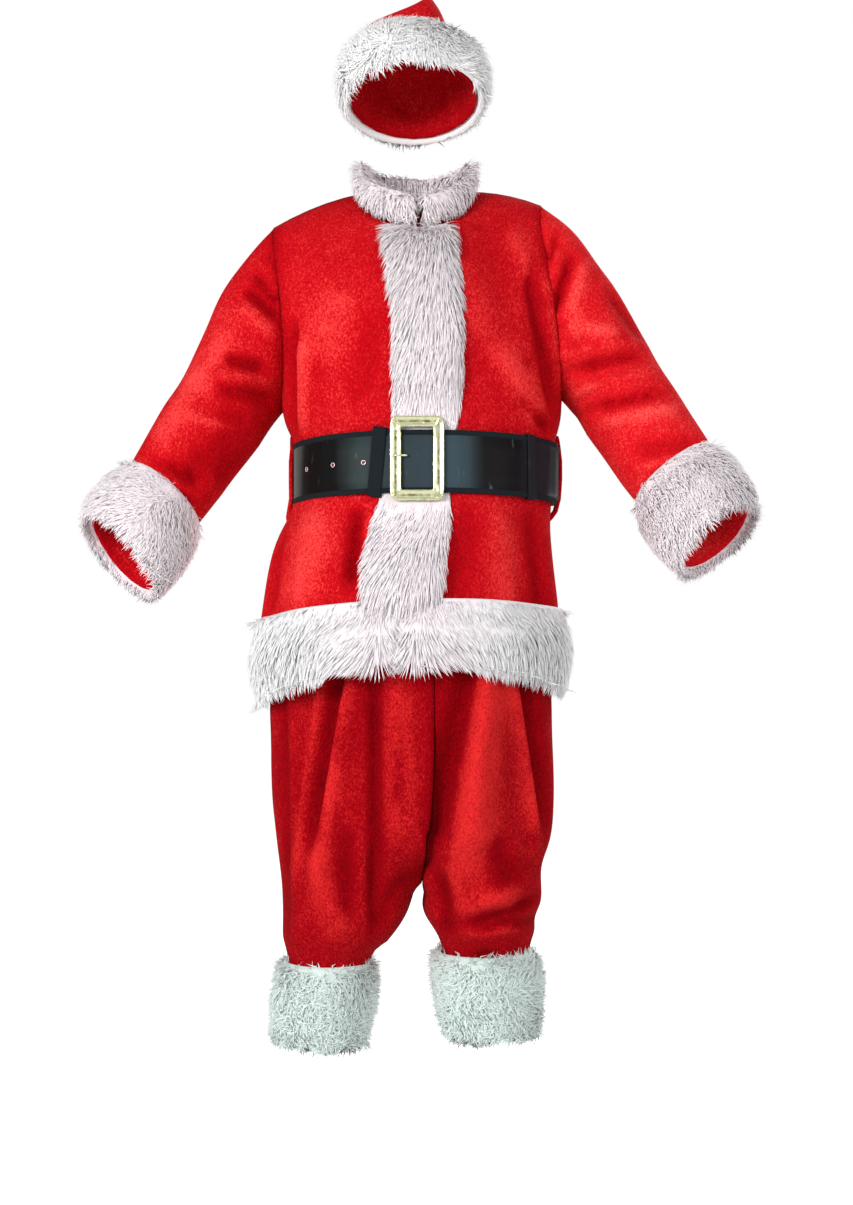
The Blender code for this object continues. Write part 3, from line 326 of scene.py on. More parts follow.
def mark_seams(piece, reach=0.010):
    """Notes how near each point lies to a stitched edge, where the cloth draws in; the plush takes a bump and painted
    shade from it.
    """
    first, second, sharp = edges_of(piece)
    points = points_of(piece)
    rims = points[np.unique((first[sharp], second[sharp]))]
    put_values(piece, "seam", hump(nearest(points, rims)[1], 0, reach))


def relax(piece, way):
    """Eases the facets out of the cloth along one way, and each stitched edge along itself."""
    first, second, sharp = edges_of(piece)
    points = points_of(piece)
    rim = np.zeros(len(points), bool)
    rim[first[sharp]] = rim[second[sharp]] = True
    keep = np.abs(unit(points[second] - points[first]) @ np.array(way)) > ALONG
    keep &= sharp | ~(rim[first] | rim[second])
    first, second = first[keep], second[keep]
    links = np.bincount(first, minlength=len(points)) + np.bincount(second, minlength=len(points))
    free = links == 2
    for _ in range(EASE_ROUNDS):
        total = np.zeros_like(points)
        np.add.at(total, first, points[second])
        np.add.at(total, second, points[first])
        points[free] += 0.5 * (total[free] / 2 - points[free])
    put_points(piece, points)


def ripple(piece, middle, height, scale):
    """Small uneven waves of soft cloth, the same on both walls."""
    points = points_of(piece)
    out = unit(points - middle(points))
    waves = np.array([noise.noise(Vector(p) * scale) for p in points - out * 0.001])
    put_points(piece, points + out * (waves * height)[:, None])


def maths(tree, operation, *values):
    return add(tree, "Math", enumerate(values), operation=operation)


def spots(tree, place, scale, low, high, **finer):
    """Noise, stretched between two of its levels."""
    return span(tree, noisy(tree, place, scale, **finer), low, high)


def mix(tree, share, first, second):
    return add(tree, "Mix", ((0, share), (6, first), (7, second)), data_type="RGBA").outputs[2]


def bump(tree, height, strength, distance, *more, **values):
    links = (("Height", height), ("Strength", strength), ("Distance", distance)) + more
    return add(tree, "Bump", links, **values)


# The nap of plush: broad patches brushed one way or the other, mottling where
# the pile parts, and single tufts, with painted shade in the troughs of folds
# and beside seams and painted light on the ridges of folds.
nap_and_shade = bpy.data.node_groups.new("plush nap and painted shade", "ShaderNodeTree")
for label, kind, value in (
    ("Dark", "NodeSocketColor", (0.2, 0.0, 0.0, 1)),
    ("Colour", "NodeSocketColor", (0.5, 0.0, 0.0, 1)),
    ("Light", "NodeSocketColor", (0.7, 0.1, 0.1, 1)),
    ("Fold Shade", "NodeSocketFloat", 0.0),
    ("Seam", "NodeSocketFloat", 0.0),
):
    nap_and_shade.interface.new_socket(label, in_out="INPUT", socket_type=kind).default_value = value
for label, kind in (("Colour", "NodeSocketColor"), ("Height", "NodeSocketFloat"), ("Roughness", "NodeSocketFloat")):
    nap_and_shade.interface.new_socket(label, in_out="OUTPUT", socket_type=kind)
given = nap_and_shade.nodes.new("NodeGroupInput").outputs
place = object_place(nap_and_shade)
brushed = add(nap_and_shade, "Mapping", (("Vector", place), ("Scale", (1.3, 1.0, 0.9))))
broad = spots(nap_and_shade, place, 7.0, 0.36, 0.64)
parted = spots(nap_and_shade, brushed, 34.0, 0.36, 0.64, detail=4.0, rough=0.7, bent=0.6)
specks = spots(nap_and_shade, brushed, 260.0, 0.34, 0.68, rough=0.7)
tufts = spots(nap_and_shade, brushed, 620.0, 0.30, 0.72)
value = maths(nap_and_shade, "MULTIPLY", broad, 0.11)
# Painted light on fold ridges, painted shade in fold troughs and beside seams.
painted_fold_shade = maths(nap_and_shade, "TANH", given["Fold Shade"])
for layer, share in ((parted, 0.12), (specks, 0.38), (tufts, 0.36), (painted_fold_shade, 0.44), (given["Seam"], -0.22)):
    value = maths(nap_and_shade, "MULTIPLY_ADD", layer, share, value)
darker = mix(nap_and_shade, span(nap_and_shade, value, -0.1, 0.5), given["Dark"], given["Colour"])
wire(nap_and_shade, nap_and_shade.nodes.new("NodeGroupOutput"), (
    ("Colour", mix(nap_and_shade, span(nap_and_shade, value, 0.5, 1.0), darker, given["Light"])),
    ("Height", maths(nap_and_shade, "MULTIPLY_ADD", tufts, 0.35, specks)),
    ("Roughness", span(nap_and_shade, specks, low=0.95, high=0.80)),
))


def plush(name, dark, colour, light):
    made, tree, shader = new_material(name)
    fold, seam = (add(tree, "Attribute", attribute_name=name).outputs["Fac"] for name in ("fold", "seam"))
    pile = add(tree, "Group", (
        ("Dark", dark), ("Colour", colour), ("Light", light), ("Fold Shade", fold), ("Seam", seam)), node_tree=nap_and_shade)
    sewn = bump(tree, seam, 1.0, 0.0035, invert=True)
    wire(tree, shader, (
        ("Base Color", pile.outputs["Colour"]), ("Roughness", pile.outputs["Roughness"]),
        ("Normal", bump(tree, pile.outputs["Height"], 0.6, 0.0016, ("Normal", sewn))),
        ("Specular IOR Level", 0.02), ("Sheen Weight", 0.07), ("Sheen Roughness", 0.4),
        ("Sheen Tint", (1.0, 0.06, 0.05, 1))))
    return made


red_plush = plush("red plush", (0.26, 0.0003, 0.0030, 1), (0.52, 0.0035, 0.0080, 1), (0.90, 0.066, 0.060, 1))
# A lighter copy of the same red plush, with painted light, for the suit's left sleeve.
painted_light_plush = plush(
    "red plush, painted light", (0.36, 0.0006, 0.0042, 1), (0.66, 0.0090, 0.0140, 1), (0.97, 0.092, 0.082, 1))
# A darker copy of the same red plush, with painted shade, for the suit's left front.
painted_shade_plush = plush(
    "red plush, painted shade", (0.23, 0.0003, 0.0030, 1), (0.46, 0.0030, 0.0075, 1), (0.80, 0.045, 0.042, 1))
# A still darker copy of the same red plush, with deeper painted shade, for the trousers.
deep_painted_shade_plush = plush(
    "red plush, painted deep shade", (0.145, 0.0002, 0.0020, 1), (0.32, 0.0012, 0.0050, 1), (0.68, 0.022, 0.022, 1))

JACKET_FRONT_FOLDS = (
    # x0, z0, x1, z1, breadth on its left and right in the suit's own sense, height
    (170, -90, 208, -315, 9, 12, -12),
    (188, -90, 214, -270, 6, 7, 7),
    (110, -210, 180, -318, 30, 12, 8.5),
    (150, -285, 200, -328, 9, 8, -9),
    (60, -80, 100, -200, 30, 30, 5),
    (140, -30, 165, -110, 16, 12, 6),
    (-110, -120, -140, -230, 32, 26, 4),
    (-178, -170, -177, -335, 8, 11, -13),
    (-156, -190, -160, -335, 7, 30, 8.5),
    (-60, -160, -85, -300, 25, 19, -4.3),
    (-84, -440, -92, -560, 9, 12, -11),
    (-52, -450, -66, -560, 13, 11, 6.5),
    (-140, -440, -165, -590, 25, 21, 8),
    (-196, -450, -215, -600, 9, 9, -7.2),
    (80, -440, 60, -590, 21, 19, -5.5),
    (120, -440, 135, -600, 19, 21, 5.8),
    (172, -445, 190, -600, 9, 15, -8.7),
)
JACKET_BACK_FOLDS = (
    (-60, -80, -30, -300, 28, 23, 8.7),
    (-140, -140, -100, -320, 19, 17, -8.7),
    (80, -120, 60, -310, 25, 21, -8.7),
    (150, -150, 120, -320, 17, 21, 7.2),
    (0, -240, 10, -325, 17, 17, -7.2),
    (-110, -440, -132, -572, 15, 13, -11.6),
    (-30, -440, -37, -560, 19, 17, 9),
    (15, -440, 12, -572, 11, 13, -10.1),
    (60, -440, 72, -560, 19, 15, 8),
    (130, -440, 152, -572, 13, 15, -10.1),
)
for node in COAT_PANELS:
    panel = panels[node] = cut_from(node, node.replace("jacket", "coat"), 2)
    relax(panel, UPWARDS)
    ripple(panel, body_middle, 0.0022, 11.0)
    press(panel, JACKET_FRONT_FOLDS, body_middle)
    press(panel, JACKET_BACK_FOLDS, body_middle, face=1)
    mark_seams(panel)
    # The suit's left front takes the plush copy with painted shade.
    stand_for(panel, node, "red_plush", painted_shade_plush if node == "jacket_front_left" else red_plush)

# ------------------------------------------------------------ the sleeves
# Each is one panel of plush closed under the arm, set into the armhole.
SLEEVE_LINE = {
    "right": line_of((-206, 0, -160), (-250, 0, -215), (-293, -22, -302),
                     (-329, -45, -356), (-369, -68, -424), (-430, -110, -510)),
    "left": line_of((205, 0, -130), (258, 0, -190), (312, -22, -280),
                    (349, -45, -340), (382, -68, -394), (441, -110, -485)),
}
ARMHOLE_HEIGHTS = (-0.30, -0.15, 0.0)
ARMHOLE_ASIDE = {"right": (-0.198, -0.198, -0.213), "left": (0.222, 0.201, 0.188)}
SIGN = {"right": -1, "left": 1}
SLEEVE_FOLDS = {"right": (
    (-247, -120, -197, -166, 5, 8, -11),
    (-235, -95, -203, -140, 5, 6, -9),
    (-256, -145, -206, -190, 12, 10, 6),
    (-278, -223, -218, -238, 9, 7, -10),
    (-295, -245, -200, -255, 6, 7, 10),
    (-286, -266, -200, -281, 7, 12, -11),
    (-270, -180, -320, -270, 20, 24, 6),
    (-312, -240, -375, -360, 18, 18, 7),
    (-258, -290, -282, -410, 24, 20, -7),
    (-285, -340, -340, -440, 18, 20, -6),
    (-250, -330, -335, -310, 6, 8, 5.5),
    (-300, -405, -385, -370, 6, 6, -6),
    (-313, -425, -395, -390, 7, 6, 5),
), "left": (
    (233, -70, 206, -150, 6, 8, -12.5),
    (212, -60, 201, -120, 6, 6, 6.5),
    (212, -30, 196, -80, 5, 6, -8),
    (248, -75, 224, -160, 14, 9, 8),
    (222, -175, 300, -190, 14, 14, 9),
    (288, -120, 340, -190, 11, 13, -9),
    (215, -218, 325, -197, 6, 7, 7.5),
    (220, -243, 332, -214, 6, 7, -8),
    (234, -272, 352, -237, 7, 8, 8),
    (249, -298, 370, -270, 6, 7, -8),
    (271, -320, 388, -297, 9, 9, 8),
    (315, -362, 412, -342, 11, 12, -9),
    (322, -385, 390, -372, 6, 6, 4),
)}
for side in ("right", "left"):
    arm_middle = partial(along_line, line=SLEEVE_LINE[side])
    node = "sleeve_" + side
    sleeve = panels[node] = cut_from(node, "coat_" + node, 2)
    relax(sleeve, unit(np.array((0.58 * SIGN[side], -0.25, -0.78))))
    ripple(sleeve, arm_middle, 0.0022, 13.0)
    press(sleeve, SLEEVE_FOLDS[side], arm_middle)
    press(sleeve, SLEEVE_FOLDS[side], arm_middle, face=1)
    mark_seams(sleeve)
    points = points_of(sleeve)
    armhole = np.interp(points[:, 2], ARMHOLE_HEIGHTS, ARMHOLE_ASIDE[side])
    points[:, 0] -= 0.0012 * SIGN[side] * hump(points[:, 0], armhole, 0.014)
    put_points(sleeve, points)
    # The suit's left sleeve takes the plush copy with painted light.
    stand_for(sleeve, node, "red_plush", painted_light_plush if side == "left" else red_plush)

# ------------------------------------------------------------ the trousers
# Four panels of the same plush, gathered into a waistband that the jacket
# hides, and drawn in under the fur at the end of each leg.
LEG_LINE = {
    "right": line_of((-30, 0, -380), (-50, 0, -700), (-100, 0, -950), (-128, 0, -1100), (-142, 0, -1250)),
    "left": line_of((40, 0, -380), (60, 0, -700), (105, 0, -950), (104, 0, -1100), (112, 0, -1250)),
}
LEG_FOLDS = {"right": (
    (-196, -660, -188, -1080, 6, 9, -8),
    (-125, -660, -174, -985, 7, 9, 8.5),
    (-106, -660, -156, -930, 12, 12, -15),
    (-88, -660, -143, -1010, 10, 12, 12),
    (-61, -660, -61, -1060, 14, 6, -13),
    (-30, -660, -30, -930, 16, 22, 7),
    (-145, -940, -105, -1070, 18, 18, 7),
    (-100, -900, -96, -1040, 12, 16, -8),
    (-12, -970, -56, -1060, 10, 12, -6),
    (-8, -700, -2, -930, 8, 10, 4),
), "left": (
    (88, -660, 24, -960, 10, 24, -16),
    (106, -660, 60, -975, 30, 9, 15),
    (98, -660, 86, -970, 26, 26, 11),
    (80, -1000, 150, -1020, 18, 18, 6),
    (137, -660, 180, -940, 6, 18, 8.5),
    (151, -660, 194, -920, 14, 6, -12),
    (82, -1046, 180, -1012, 6, 10, -11),
    (70, -1030, 150, -996, 11, 8, 8),
    (65, -1064, 165, -1058, 7, 7, 6),
    (90, -1058, 150, -1040, 5, 5, -5),
    (40, -970, 42, -1066, 14, 6, -11),
    (62, -960, 70, -1040, 14, 18, 6),
    (110, -920, 145, -990, 18, 20, -8),
)}
CROTCH_ASIDE, CROTCH_DEEP, CROTCH_HEIGHT = 0.015, 0.12, -0.950
CROTCH_REACH, CROTCH_ROUNDS = 0.100, 44
SEAM_KEPT, INSIDE_LEG_KEPT = 0.011, 0.035
LAP, LAP_REACH, LAP_GAP = 0.0150, 0.030, 0.0002


def ease(piece, centre, reach, rounds):
    """Smooths the cloth round a place, away from the middle seam and the inside leg."""
    points = points_of(piece)
    near = np.linalg.norm(points - np.array(centre), axis=1) < reach
    near &= (np.abs(points[:, 0] - centre[0]) > SEAM_KEPT) & (np.abs(points[:, 1]) > INSIDE_LEG_KEPT)
    only(piece)
    mode("EDIT")
    bpy.ops.mesh.select_mode(type="VERT")
    bpy.ops.mesh.select_all(action="DESELECT")
    mode("OBJECT")
    piece.data.vertices.foreach_set("select", near)
    mode("EDIT")
    bpy.ops.mesh.vertices_smooth(factor=0.5, repeat=rounds)
    mode("OBJECT")


def hips_middle(points, line):
    """The axis of the hips above the crotch, and of one leg below it."""
    seam = np.interp(points[:, 2], (-0.94, -0.67, -0.39), (0.016, 0.028, 0.014))
    from_seam = points[:, 0] - seam
    hips = points.copy()
    hips[:, 0] = seam + from_seam * (1 - soft(np.abs(from_seam), 0.03, 0.16))
    hips[:, 1] = 0
    below = soft(-points[:, 2], 0.90, 0.975)[:, None]
    return hips * (1 - below) + along_line(points, line) * below


for side in ("right", "left"):
    leg_middle = partial(hips_middle, line=LEG_LINE[side])
    for face, sign in (("front", -1), ("back", 1)):
        node = "trouser_%s_%s" % (face, side)
        panel = panels[node] = cut_from(node, node.replace("trouser", "trousers"), 2)
        relax(panel, UPWARDS)
        ease(panel, (CROTCH_ASIDE, CROTCH_DEEP * sign, CROTCH_HEIGHT), CROTCH_REACH, CROTCH_ROUNDS)
        mark_seams(panel)
        ripple(panel, leg_middle, 0.002, 12.0)
        press(panel, LEG_FOLDS[side], leg_middle)
        press(panel, LEG_FOLDS[side], leg_middle, face=1)
        points = points_of(panel)
        from_seam = points[:, 0] - np.interp(points[:, 2], (-1.05, -0.94, -0.67), (0.006, 0.016, 0.028))
        lap = LAP * soft(-points[:, 2], 0.905, 0.940) * (1 - soft(-points[:, 2], 0.988, 1.016))
        lap *= hump(from_seam, 0, LAP_REACH)
        points[:, 0] -= np.sign(from_seam) * np.minimum(lap, np.maximum(np.abs(from_seam) - LAP_GAP, 0))
        put_points(panel, points)
        # The trousers take the plush copy with deeper painted shade.
        stand_for(panel, node, "red_plush", deep_painted_shade_plush)
# The waistband takes the same copy with deeper painted shade.
waistband = panels["trouser_waistband"] = cut_from("trouser_waistband", "trousers_waistband", 1)
stand_for(waistband, "trouser_waistband", "red_plush", deep_painted_shade_plush)

# ------------------------------------------------------------ the fur
# Long fur on a knitted back, sewn on as strips. Its pile is made of tapered
# locks that grow from a soft undercoat, lie the way they were combed, and
# gather in small clumps.
SKIN = 0.0004
PRESSED = 0.66
ROOTED = 0.44
SUNK = 0.45
LEAST_SUNK = 0.005
SWIRLS = 14.0
CLUMP_REACH = 0.02
LOCKS = {}
# The swirls of noise_vector come out the same each run only with a set seed.
noise.seed_set(1)
for bends, heights in (("long", (0.38, 0.74)), ("short", (0.55,))):
    bpy.ops.object.select_all(action="DESELECT")
    bpy.ops.mesh.primitive_cone_add(
        vertices=3, radius1=1, radius2=0, depth=1, location=(0, 0, 0.5), end_fill_type="NOTHING")
    lock = bpy.context.object
    bpy.ops.object.transform_apply(location=True, rotation=True, scale=True)
    mode("EDIT")
    for height in heights:
        bpy.ops.mesh.select_all(action="SELECT")
        bpy.ops.mesh.bisect(plane_co=(0, 0, height), plane_no=(0, 0, 1))
    mode("OBJECT")
    LOCKS[bends] = points_of(lock), [tuple(face.vertices) for face in lock.data.polygons]
    bpy.data.objects.remove(lock)


def ramp(tree, value, *stops):
    """A colour for each value, from stops of a position and a colour."""
    made = add(tree, "ValToRGB", (("Fac", value),))
    for position, _ in stops[1:-1]:
        made.color_ramp.elements.new(position)
    for element, (position, colour) in zip(made.color_ramp.elements, stops):
        element.position = position
        element.color = colour + (1,)
    return made


def fur_material(name, root, middle, tip, aside=(1, 1, 1)):
    """Pile darker at its roots, which is painted shade, uneven from lock to lock, and turning to the hue aside away
    from the front.
    """
    made, tree, shader = new_material(name)
    strand = add(tree, "Attribute", attribute_name="strand").outputs["Color"]
    along, each, group = add(tree, "SeparateColor", (("Color", strand),)).outputs
    shade = maths(tree, "MULTIPLY", span(tree, each, low=0.94, high=1.03), span(tree, group, low=0.95, high=1.02))
    # The colour darkens from tip to root: painted shade deep in the pile.
    hair = ramp(tree, along, (0.0, root), (0.4, middle), (0.9, tip))
    shaded = add(tree, "VectorMath", ((0, hair), ("Scale", shade)), operation="SCALE")
    place = object_place(tree)
    patches = noisy(tree, place, 7.0, detail=1.0)
    far = maths(tree, "ABSOLUTE", add(tree, "SeparateXYZ", (("Vector", place),)))
    far = maths(tree, "MULTIPLY_ADD", patches, 0.12, far)
    hue = mix(tree, span(tree, far, 0.12, 0.22), WHITE, aside + (1,))
    wire(tree, shader, (
        ("Base Color", add(tree, "VectorMath", ((0, shaded), (1, hue)), operation="MULTIPLY")),
        ("Roughness", 0.75), ("Specular IOR Level", 0.2), ("Sheen Weight", 0.3), ("Sheen Roughness", 0.5)))
    return made


# Colours at the root, the middle and the tip; the darker roots are painted shade.
pink_fur = fur_material("pinkish fur", (0.78, 0.680, 0.715), (0.84, 0.760, 0.790), (0.88, 0.815, 0.840))
hem_pink_fur = fur_material(
    "pinkish fur, whiter aside", (0.76, 0.690, 0.720), (0.81, 0.750, 0.775), (0.86, 0.805, 0.825),
    aside=(0.98, 1.06, 1.04))
cap_fur = fur_material("white fur", (0.90, 0.89, 0.89), (0.93, 0.92, 0.92), (0.95, 0.945, 0.945))
white_fur = fur_material("white curly fur", (0.62, 0.745, 0.700), (0.69, 0.805, 0.765), (0.77, 0.870, 0.835))


def depth_under(tree, places, outs, most, missing):
    """How thick the strip is under each point, or missing where the other side is not met."""
    found = np.full(len(places), missing)
    for number, (place, out) in enumerate(zip(places, outs)):
        hit = tree.ray_cast(Vector(place - out * SKIN), Vector(-out), most)
        if hit[0] is not None:
            found[number] = hit[3]
    return found


def fur_coat(node, name, finish, count, middle, comb, pile=0.021, length=0.030, width=0.0011,
             curl=0.0, wild=0.25, clump=12, favour=None, inside=False, bends="short", ahead=None,
             flush=0.0, lip=-0.25, rim_pile=0.3, turned=0.0, proud=0.02, size_at=None, lift=0,
             gathered=0.42, shape=None, tuck=0.0, bare=0.70, seed=1):
    """Replaces a CAD strip of fur by its undercoat, a strip cut to size, and count locks of pile.

    middle gives the axis that the fur faces away from, and comb the way the
    pile lies at given points. Lengths are in metres and wild is how uneven
    the combing is. favour weighs where the locks stand closer. ahead is the
    way from the strip's sewn rim, which has no pile, to its free one, and
    flush how far from it the strip is pressed flat. lip is how far the pile
    reaches round a rim and rim_pile its share there, and turned how far it
    goes on inside the free rim. size_at scales the locks from place to place,
    proud and lift raise their tips, gathered draws them into clumps, shape
    settles the strip itself before its pile stands, and tuck draws its free
    rim back under the pile. bare is how squarely the sewn rim faces back
    where the pile ends.
    """
    lock_points, lock_faces = LOCKS[bends]
    draw = np.random.default_rng(seed)
    piece = cut_from(node, name, 1, rim=80, crease=0.0)
    mesh = piece.data
    if shape is not None:
        put_points(piece, shape(points_of(piece), normals_of(piece)))
    mesh.calc_loop_triangles()
    corners = np.array([tuple(face.vertices) for face in mesh.loop_triangles])
    points, normals = points_of(piece), normals_of(piece)
    tree = BVHTree.FromPolygons(points.tolist(), corners.tolist())
    if flush:
        away = nearest(points, points[-normals @ np.array(ahead) > 0.80])[1]
        radial = unit(points - middle(points))
        outer = (normals * radial).sum(axis=1) > 0.1
        thick = depth_under(tree, points, radial, pile, pile * 0.5)
        points -= radial * (outer * thick * PRESSED * (1 - soft(away, 0.0, flush)))[:, None]
        put_points(piece, points)
        normals = normals_of(piece)
        tree = BVHTree.FromPolygons(points.tolist(), corners.tolist())

    triangle = points[corners]
    crossed = np.cross(triangle[:, 1] - triangle[:, 0], triangle[:, 2] - triangle[:, 0])
    area = np.linalg.norm(crossed, axis=1) / 2
    centre = triangle.mean(axis=1)
    facing = (unit(crossed) * unit(centre - middle(centre))).sum(axis=1)
    weight = area * (1.0 if inside else facing > lip)
    if turned:
        near = nearest(centre, points[normals @ np.array(ahead) > 0.75])[1] < turned
        weight = np.where(near & (facing <= lip), area * 1.4, weight)
    if ahead is not None:
        weight = weight * (1 - soft(-unit(crossed) @ np.array(ahead), bare, bare + 0.14))
    if favour is not None:
        weight = weight * favour(centre)
    picked = draw.choice(len(corners), size=count, p=weight / weight.sum())
    u, v = draw.random(count), draw.random(count)
    over = u + v > 1
    u[over], v[over] = 1 - u[over], 1 - v[over]
    share = np.stack((1 - u - v, u, v), axis=1)[:, :, None]
    place = (points[corners[picked]] * share).sum(axis=1)
    out = unit((normals[corners[picked]] * share).sum(axis=1))
    depth = np.minimum(depth_under(tree, place, out, pile, pile * rim_pile), pile)
    radial = unit(place - middle(place))
    toward = (out * radial).sum(axis=1)
    depth = np.where(toward < lip, np.minimum(depth, pile * 0.3), depth)
    loft = depth / pile

    # The way each lock lies, and the clump that it leans to.
    flow = np.array([noise.noise_vector(Vector(p) * SWIRLS) for p in place])
    stray = draw.normal(size=(count, 3))
    way = comb(place, out) + flow * wild * 1.6 + stray * wild * 0.35
    way = unit(way - out * (way * out).sum(axis=1, keepdims=True))
    side = unit(np.cross(out, way))
    root = place - out * (depth * ROOTED)[:, None]
    leaders = draw.choice(count, size=max(2, count // clump), replace=False)
    owner = nearest(root, root[leaders])[0]
    gather = root[leaders[owner]] - root
    gather -= out * (gather * out).sum(axis=1, keepdims=True)
    gather[np.linalg.norm(gather, axis=1) > CLUMP_REACH] = 0
    shade = draw.random(len(leaders))[owner]
    own = draw.random(count)

    # Its length and its bend, from where it leaves the strip to its tip.
    tall = length * draw.uniform(0.75, 1.15, count) * (0.5 + 0.5 * loft)
    if size_at is not None:
        tall = tall * size_at(place)
    mean = np.arcsin(np.clip((depth * (ROOTED + proud) + 0.0012) / tall, 0.05, 0.9))
    end = np.radians(-2 + (8 + lift) * loft + draw.normal(0, 7 + lift * 0.5, count))
    start = np.clip(2 * mean + draw.normal(0, 0.12, count) - end, 0.1, 1.45)
    turn = np.where(np.abs(end - start) < 0.02, 0.02, end - start)
    wave = curl * draw.uniform(0.5, 1.2, count)
    phase = draw.uniform(0, math.tau, count)
    thick = width * draw.uniform(0.7, 1.3, count)
    t = lock_points[:, 2]
    spread = np.interp(t, (0, 0.4, 0.74, 1), (1.0, 1.0, 0.6, 0.0))
    across, above = np.where(t < 0.999, lock_points[:, :2].T / np.maximum(1 - t, 1e-3), 0)
    bent = start[:, None] + turn[:, None] * t
    rise = (np.cos(start)[:, None] - np.cos(bent)) / turn[:, None]
    run = (np.sin(bent) - np.sin(start)[:, None]) / turn[:, None]
    sway = wave[:, None] * np.sin(phase[:, None] + t * 5.0) * t
    made = root[:, None] + out[:, None] * (rise * tall[:, None])[..., None]
    made = made + way[:, None] * (run * tall[:, None])[..., None]
    made = made + side[:, None] * (sway + across * spread * thick[:, None])[..., None]
    made = made + out[:, None] * (above * spread * thick[:, None] * 0.6 + sway * 0.5)[..., None]
    made = made + gather[:, None] * (gathered * t ** 1.4)[None, :, None]

    # Locks that would grow into the strip are left out.
    level = radial
    if ahead is not None:
        axis = unit(np.array(ahead))
        level = unit(radial - axis * (radial @ axis)[:, None])
    inward = ((made[:, -1] - root) * level).sum(axis=1) < np.where(toward > 0.5, -0.006, -0.001)
    inward &= (toward > lip) & (not inside)
    up = (0.25 + 0.55 * np.clip(-out[:, 2], 0, 1))[:, None] * np.array((0, 0, 1))
    shading = out[:, None] * (0.75 + 0.3 * above)[None, :, None] + (way * 0.1 + up)[:, None]
    shading = unit(shading + side[:, None] * (across * 0.35)[None, :, None])
    made, shading, own, shade = (rows[~inward] for rows in (made, shading, own, shade))
    count, each = made.shape[:2]
    strand = np.ones((count, each, 4))
    strand[..., 0], strand[..., 1], strand[..., 2] = t[None], own[:, None], shade[:, None]

    # The strip sinks under its pile, and the locks become one mesh.
    radial = normals if inside else unit(points - middle(points))
    squarely = (normals * radial).sum(axis=1)
    sunk = np.maximum(depth_under(tree, points, normals, pile, pile * rim_pile) - LEAST_SUNK, 0) * SUNK
    sunk = np.where(squarely > max(lip, -0.6), sunk * np.clip(squarely, 0.25, 1) ** 2, 0.0)
    points = points - normals * sunk[:, None]
    if tuck:
        points -= np.array(ahead) * (tuck * soft(normals @ np.array(ahead), 0.0, 0.6))[:, None]
    put_points(piece, points)
    # The undercoat takes the darker root colour, painted shade under the locks.
    layer = mesh.color_attributes.new("strand", "FLOAT_COLOR", "POINT")
    layer.data.foreach_set("color", np.tile((0.0, 0.4, 0.3, 1.0), (len(points), 1)).ravel())
    mesh.materials.append(finish)
    rows = np.arange(count)[:, None] * each
    faces = [tuple(corner) for face in lock_faces for corner in (rows + face).tolist()]
    coat = bpy.data.meshes.new(name + "_pile")
    coat.from_pydata(made.reshape(-1, 3).tolist(), [], faces)
    layer = coat.color_attributes.new("strand", "FLOAT_COLOR", "POINT")
    layer.data.foreach_set("color", strand.ravel())
    coat.shade_smooth()
    coat.normals_split_custom_set_from_vertices(shading.reshape(-1, 3).tolist())
    coat.materials.append(finish)
    locks = bpy.data.objects.new(name + "_pile", coat)
    scene.collection.objects.link(locks)
    for part in (piece, locks):
        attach(part, "root")
    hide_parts(node)


def everywhere(*vector):
    """The same vector at every point."""
    return lambda points, outs=None: np.tile(vector, (len(points), 1))


def downwards(aside):
    """Down, and so much to the side."""
    return np.stack((aside, np.zeros(len(aside)), -np.ones(len(aside))), axis=1)


def front_weight(points):
    return np.where(points[:, 1] < 0.0, 1.5, 0.75)


OPENING = ((-0.67, -0.52, -0.42, -0.30, -0.20, -0.03), (-0.029, -0.016, 0.0, 0.019, 0.022, 0.006))
BELT_LOW, BELT_HIGH = -0.434, -0.333
HEM_HIGH = -0.556


def from_opening(points):
    """How far each point lies beside the middle of the front band."""
    return points[:, 0] - np.interp(points[:, 2], *OPENING)


def band_weight(points):
    """No pile where the belt covers it, nor where the hem's fur does."""
    hidden = (points[:, 2] > BELT_LOW + 0.012) & (points[:, 2] < BELT_HIGH - 0.012)
    return np.where(hidden | ((points[:, 2] < HEM_HIGH) & (np.abs(from_opening(points)) > 0.034)), 0.0, 1.0)


def band_shape(points, outs):
    """Fuller below the belt."""
    below = soft(-points[:, 2], 0.395, 0.450)
    points[:, 0] += (0.15 * from_opening(points) + 0.0028) * below
    return points


def band_comb(points, outs):
    """Down the front, to the suit's right on that side and under the belt."""
    aside = from_opening(points) / 0.045
    below = soft(-points[:, 2], 0.43, 0.46)
    return downwards(np.where(aside < 0, 0.30, 0.06) * aside - 0.10 - 0.10 * below)


def band_size(points):
    """Tucked under the belt from above, flat beneath it, longest over the hem."""
    height = points[:, 2]
    above = np.clip((height - BELT_HIGH) / 0.040, 0.12, 1)
    below = 1 + 0.5 * soft(-height, 0.53, 0.58)
    return np.where(height > BELT_HIGH, above, np.where(height > BELT_LOW, 0.12, below))


fur_coat("front_band_fur", "coat_front_fur", pink_fur, 9300, body_middle, band_comb,
         length=0.042, width=0.0009, wild=0.20, clump=8, gathered=0.24, bends="long", ahead=UPWARDS,
         bare=0.5, shape=band_shape, favour=band_weight, size_at=band_size, seed=3)


def hem_comb(points, outs):
    """Fanning away from the front band, and down on the rest."""
    aside = from_opening(points)
    fan = np.sign(aside) * hump(np.abs(aside), 0.075, 0.04) * 0.85 * (0.3 + 0.7 * soft(-points[:, 2], 0.585, 0.62))
    closed = -np.clip(aside / 0.004, -1, 1) * (1 - soft(np.abs(aside), 0.012, 0.035)) * 0.7
    return downwards((fan + closed) * (points[:, 1] < 0))


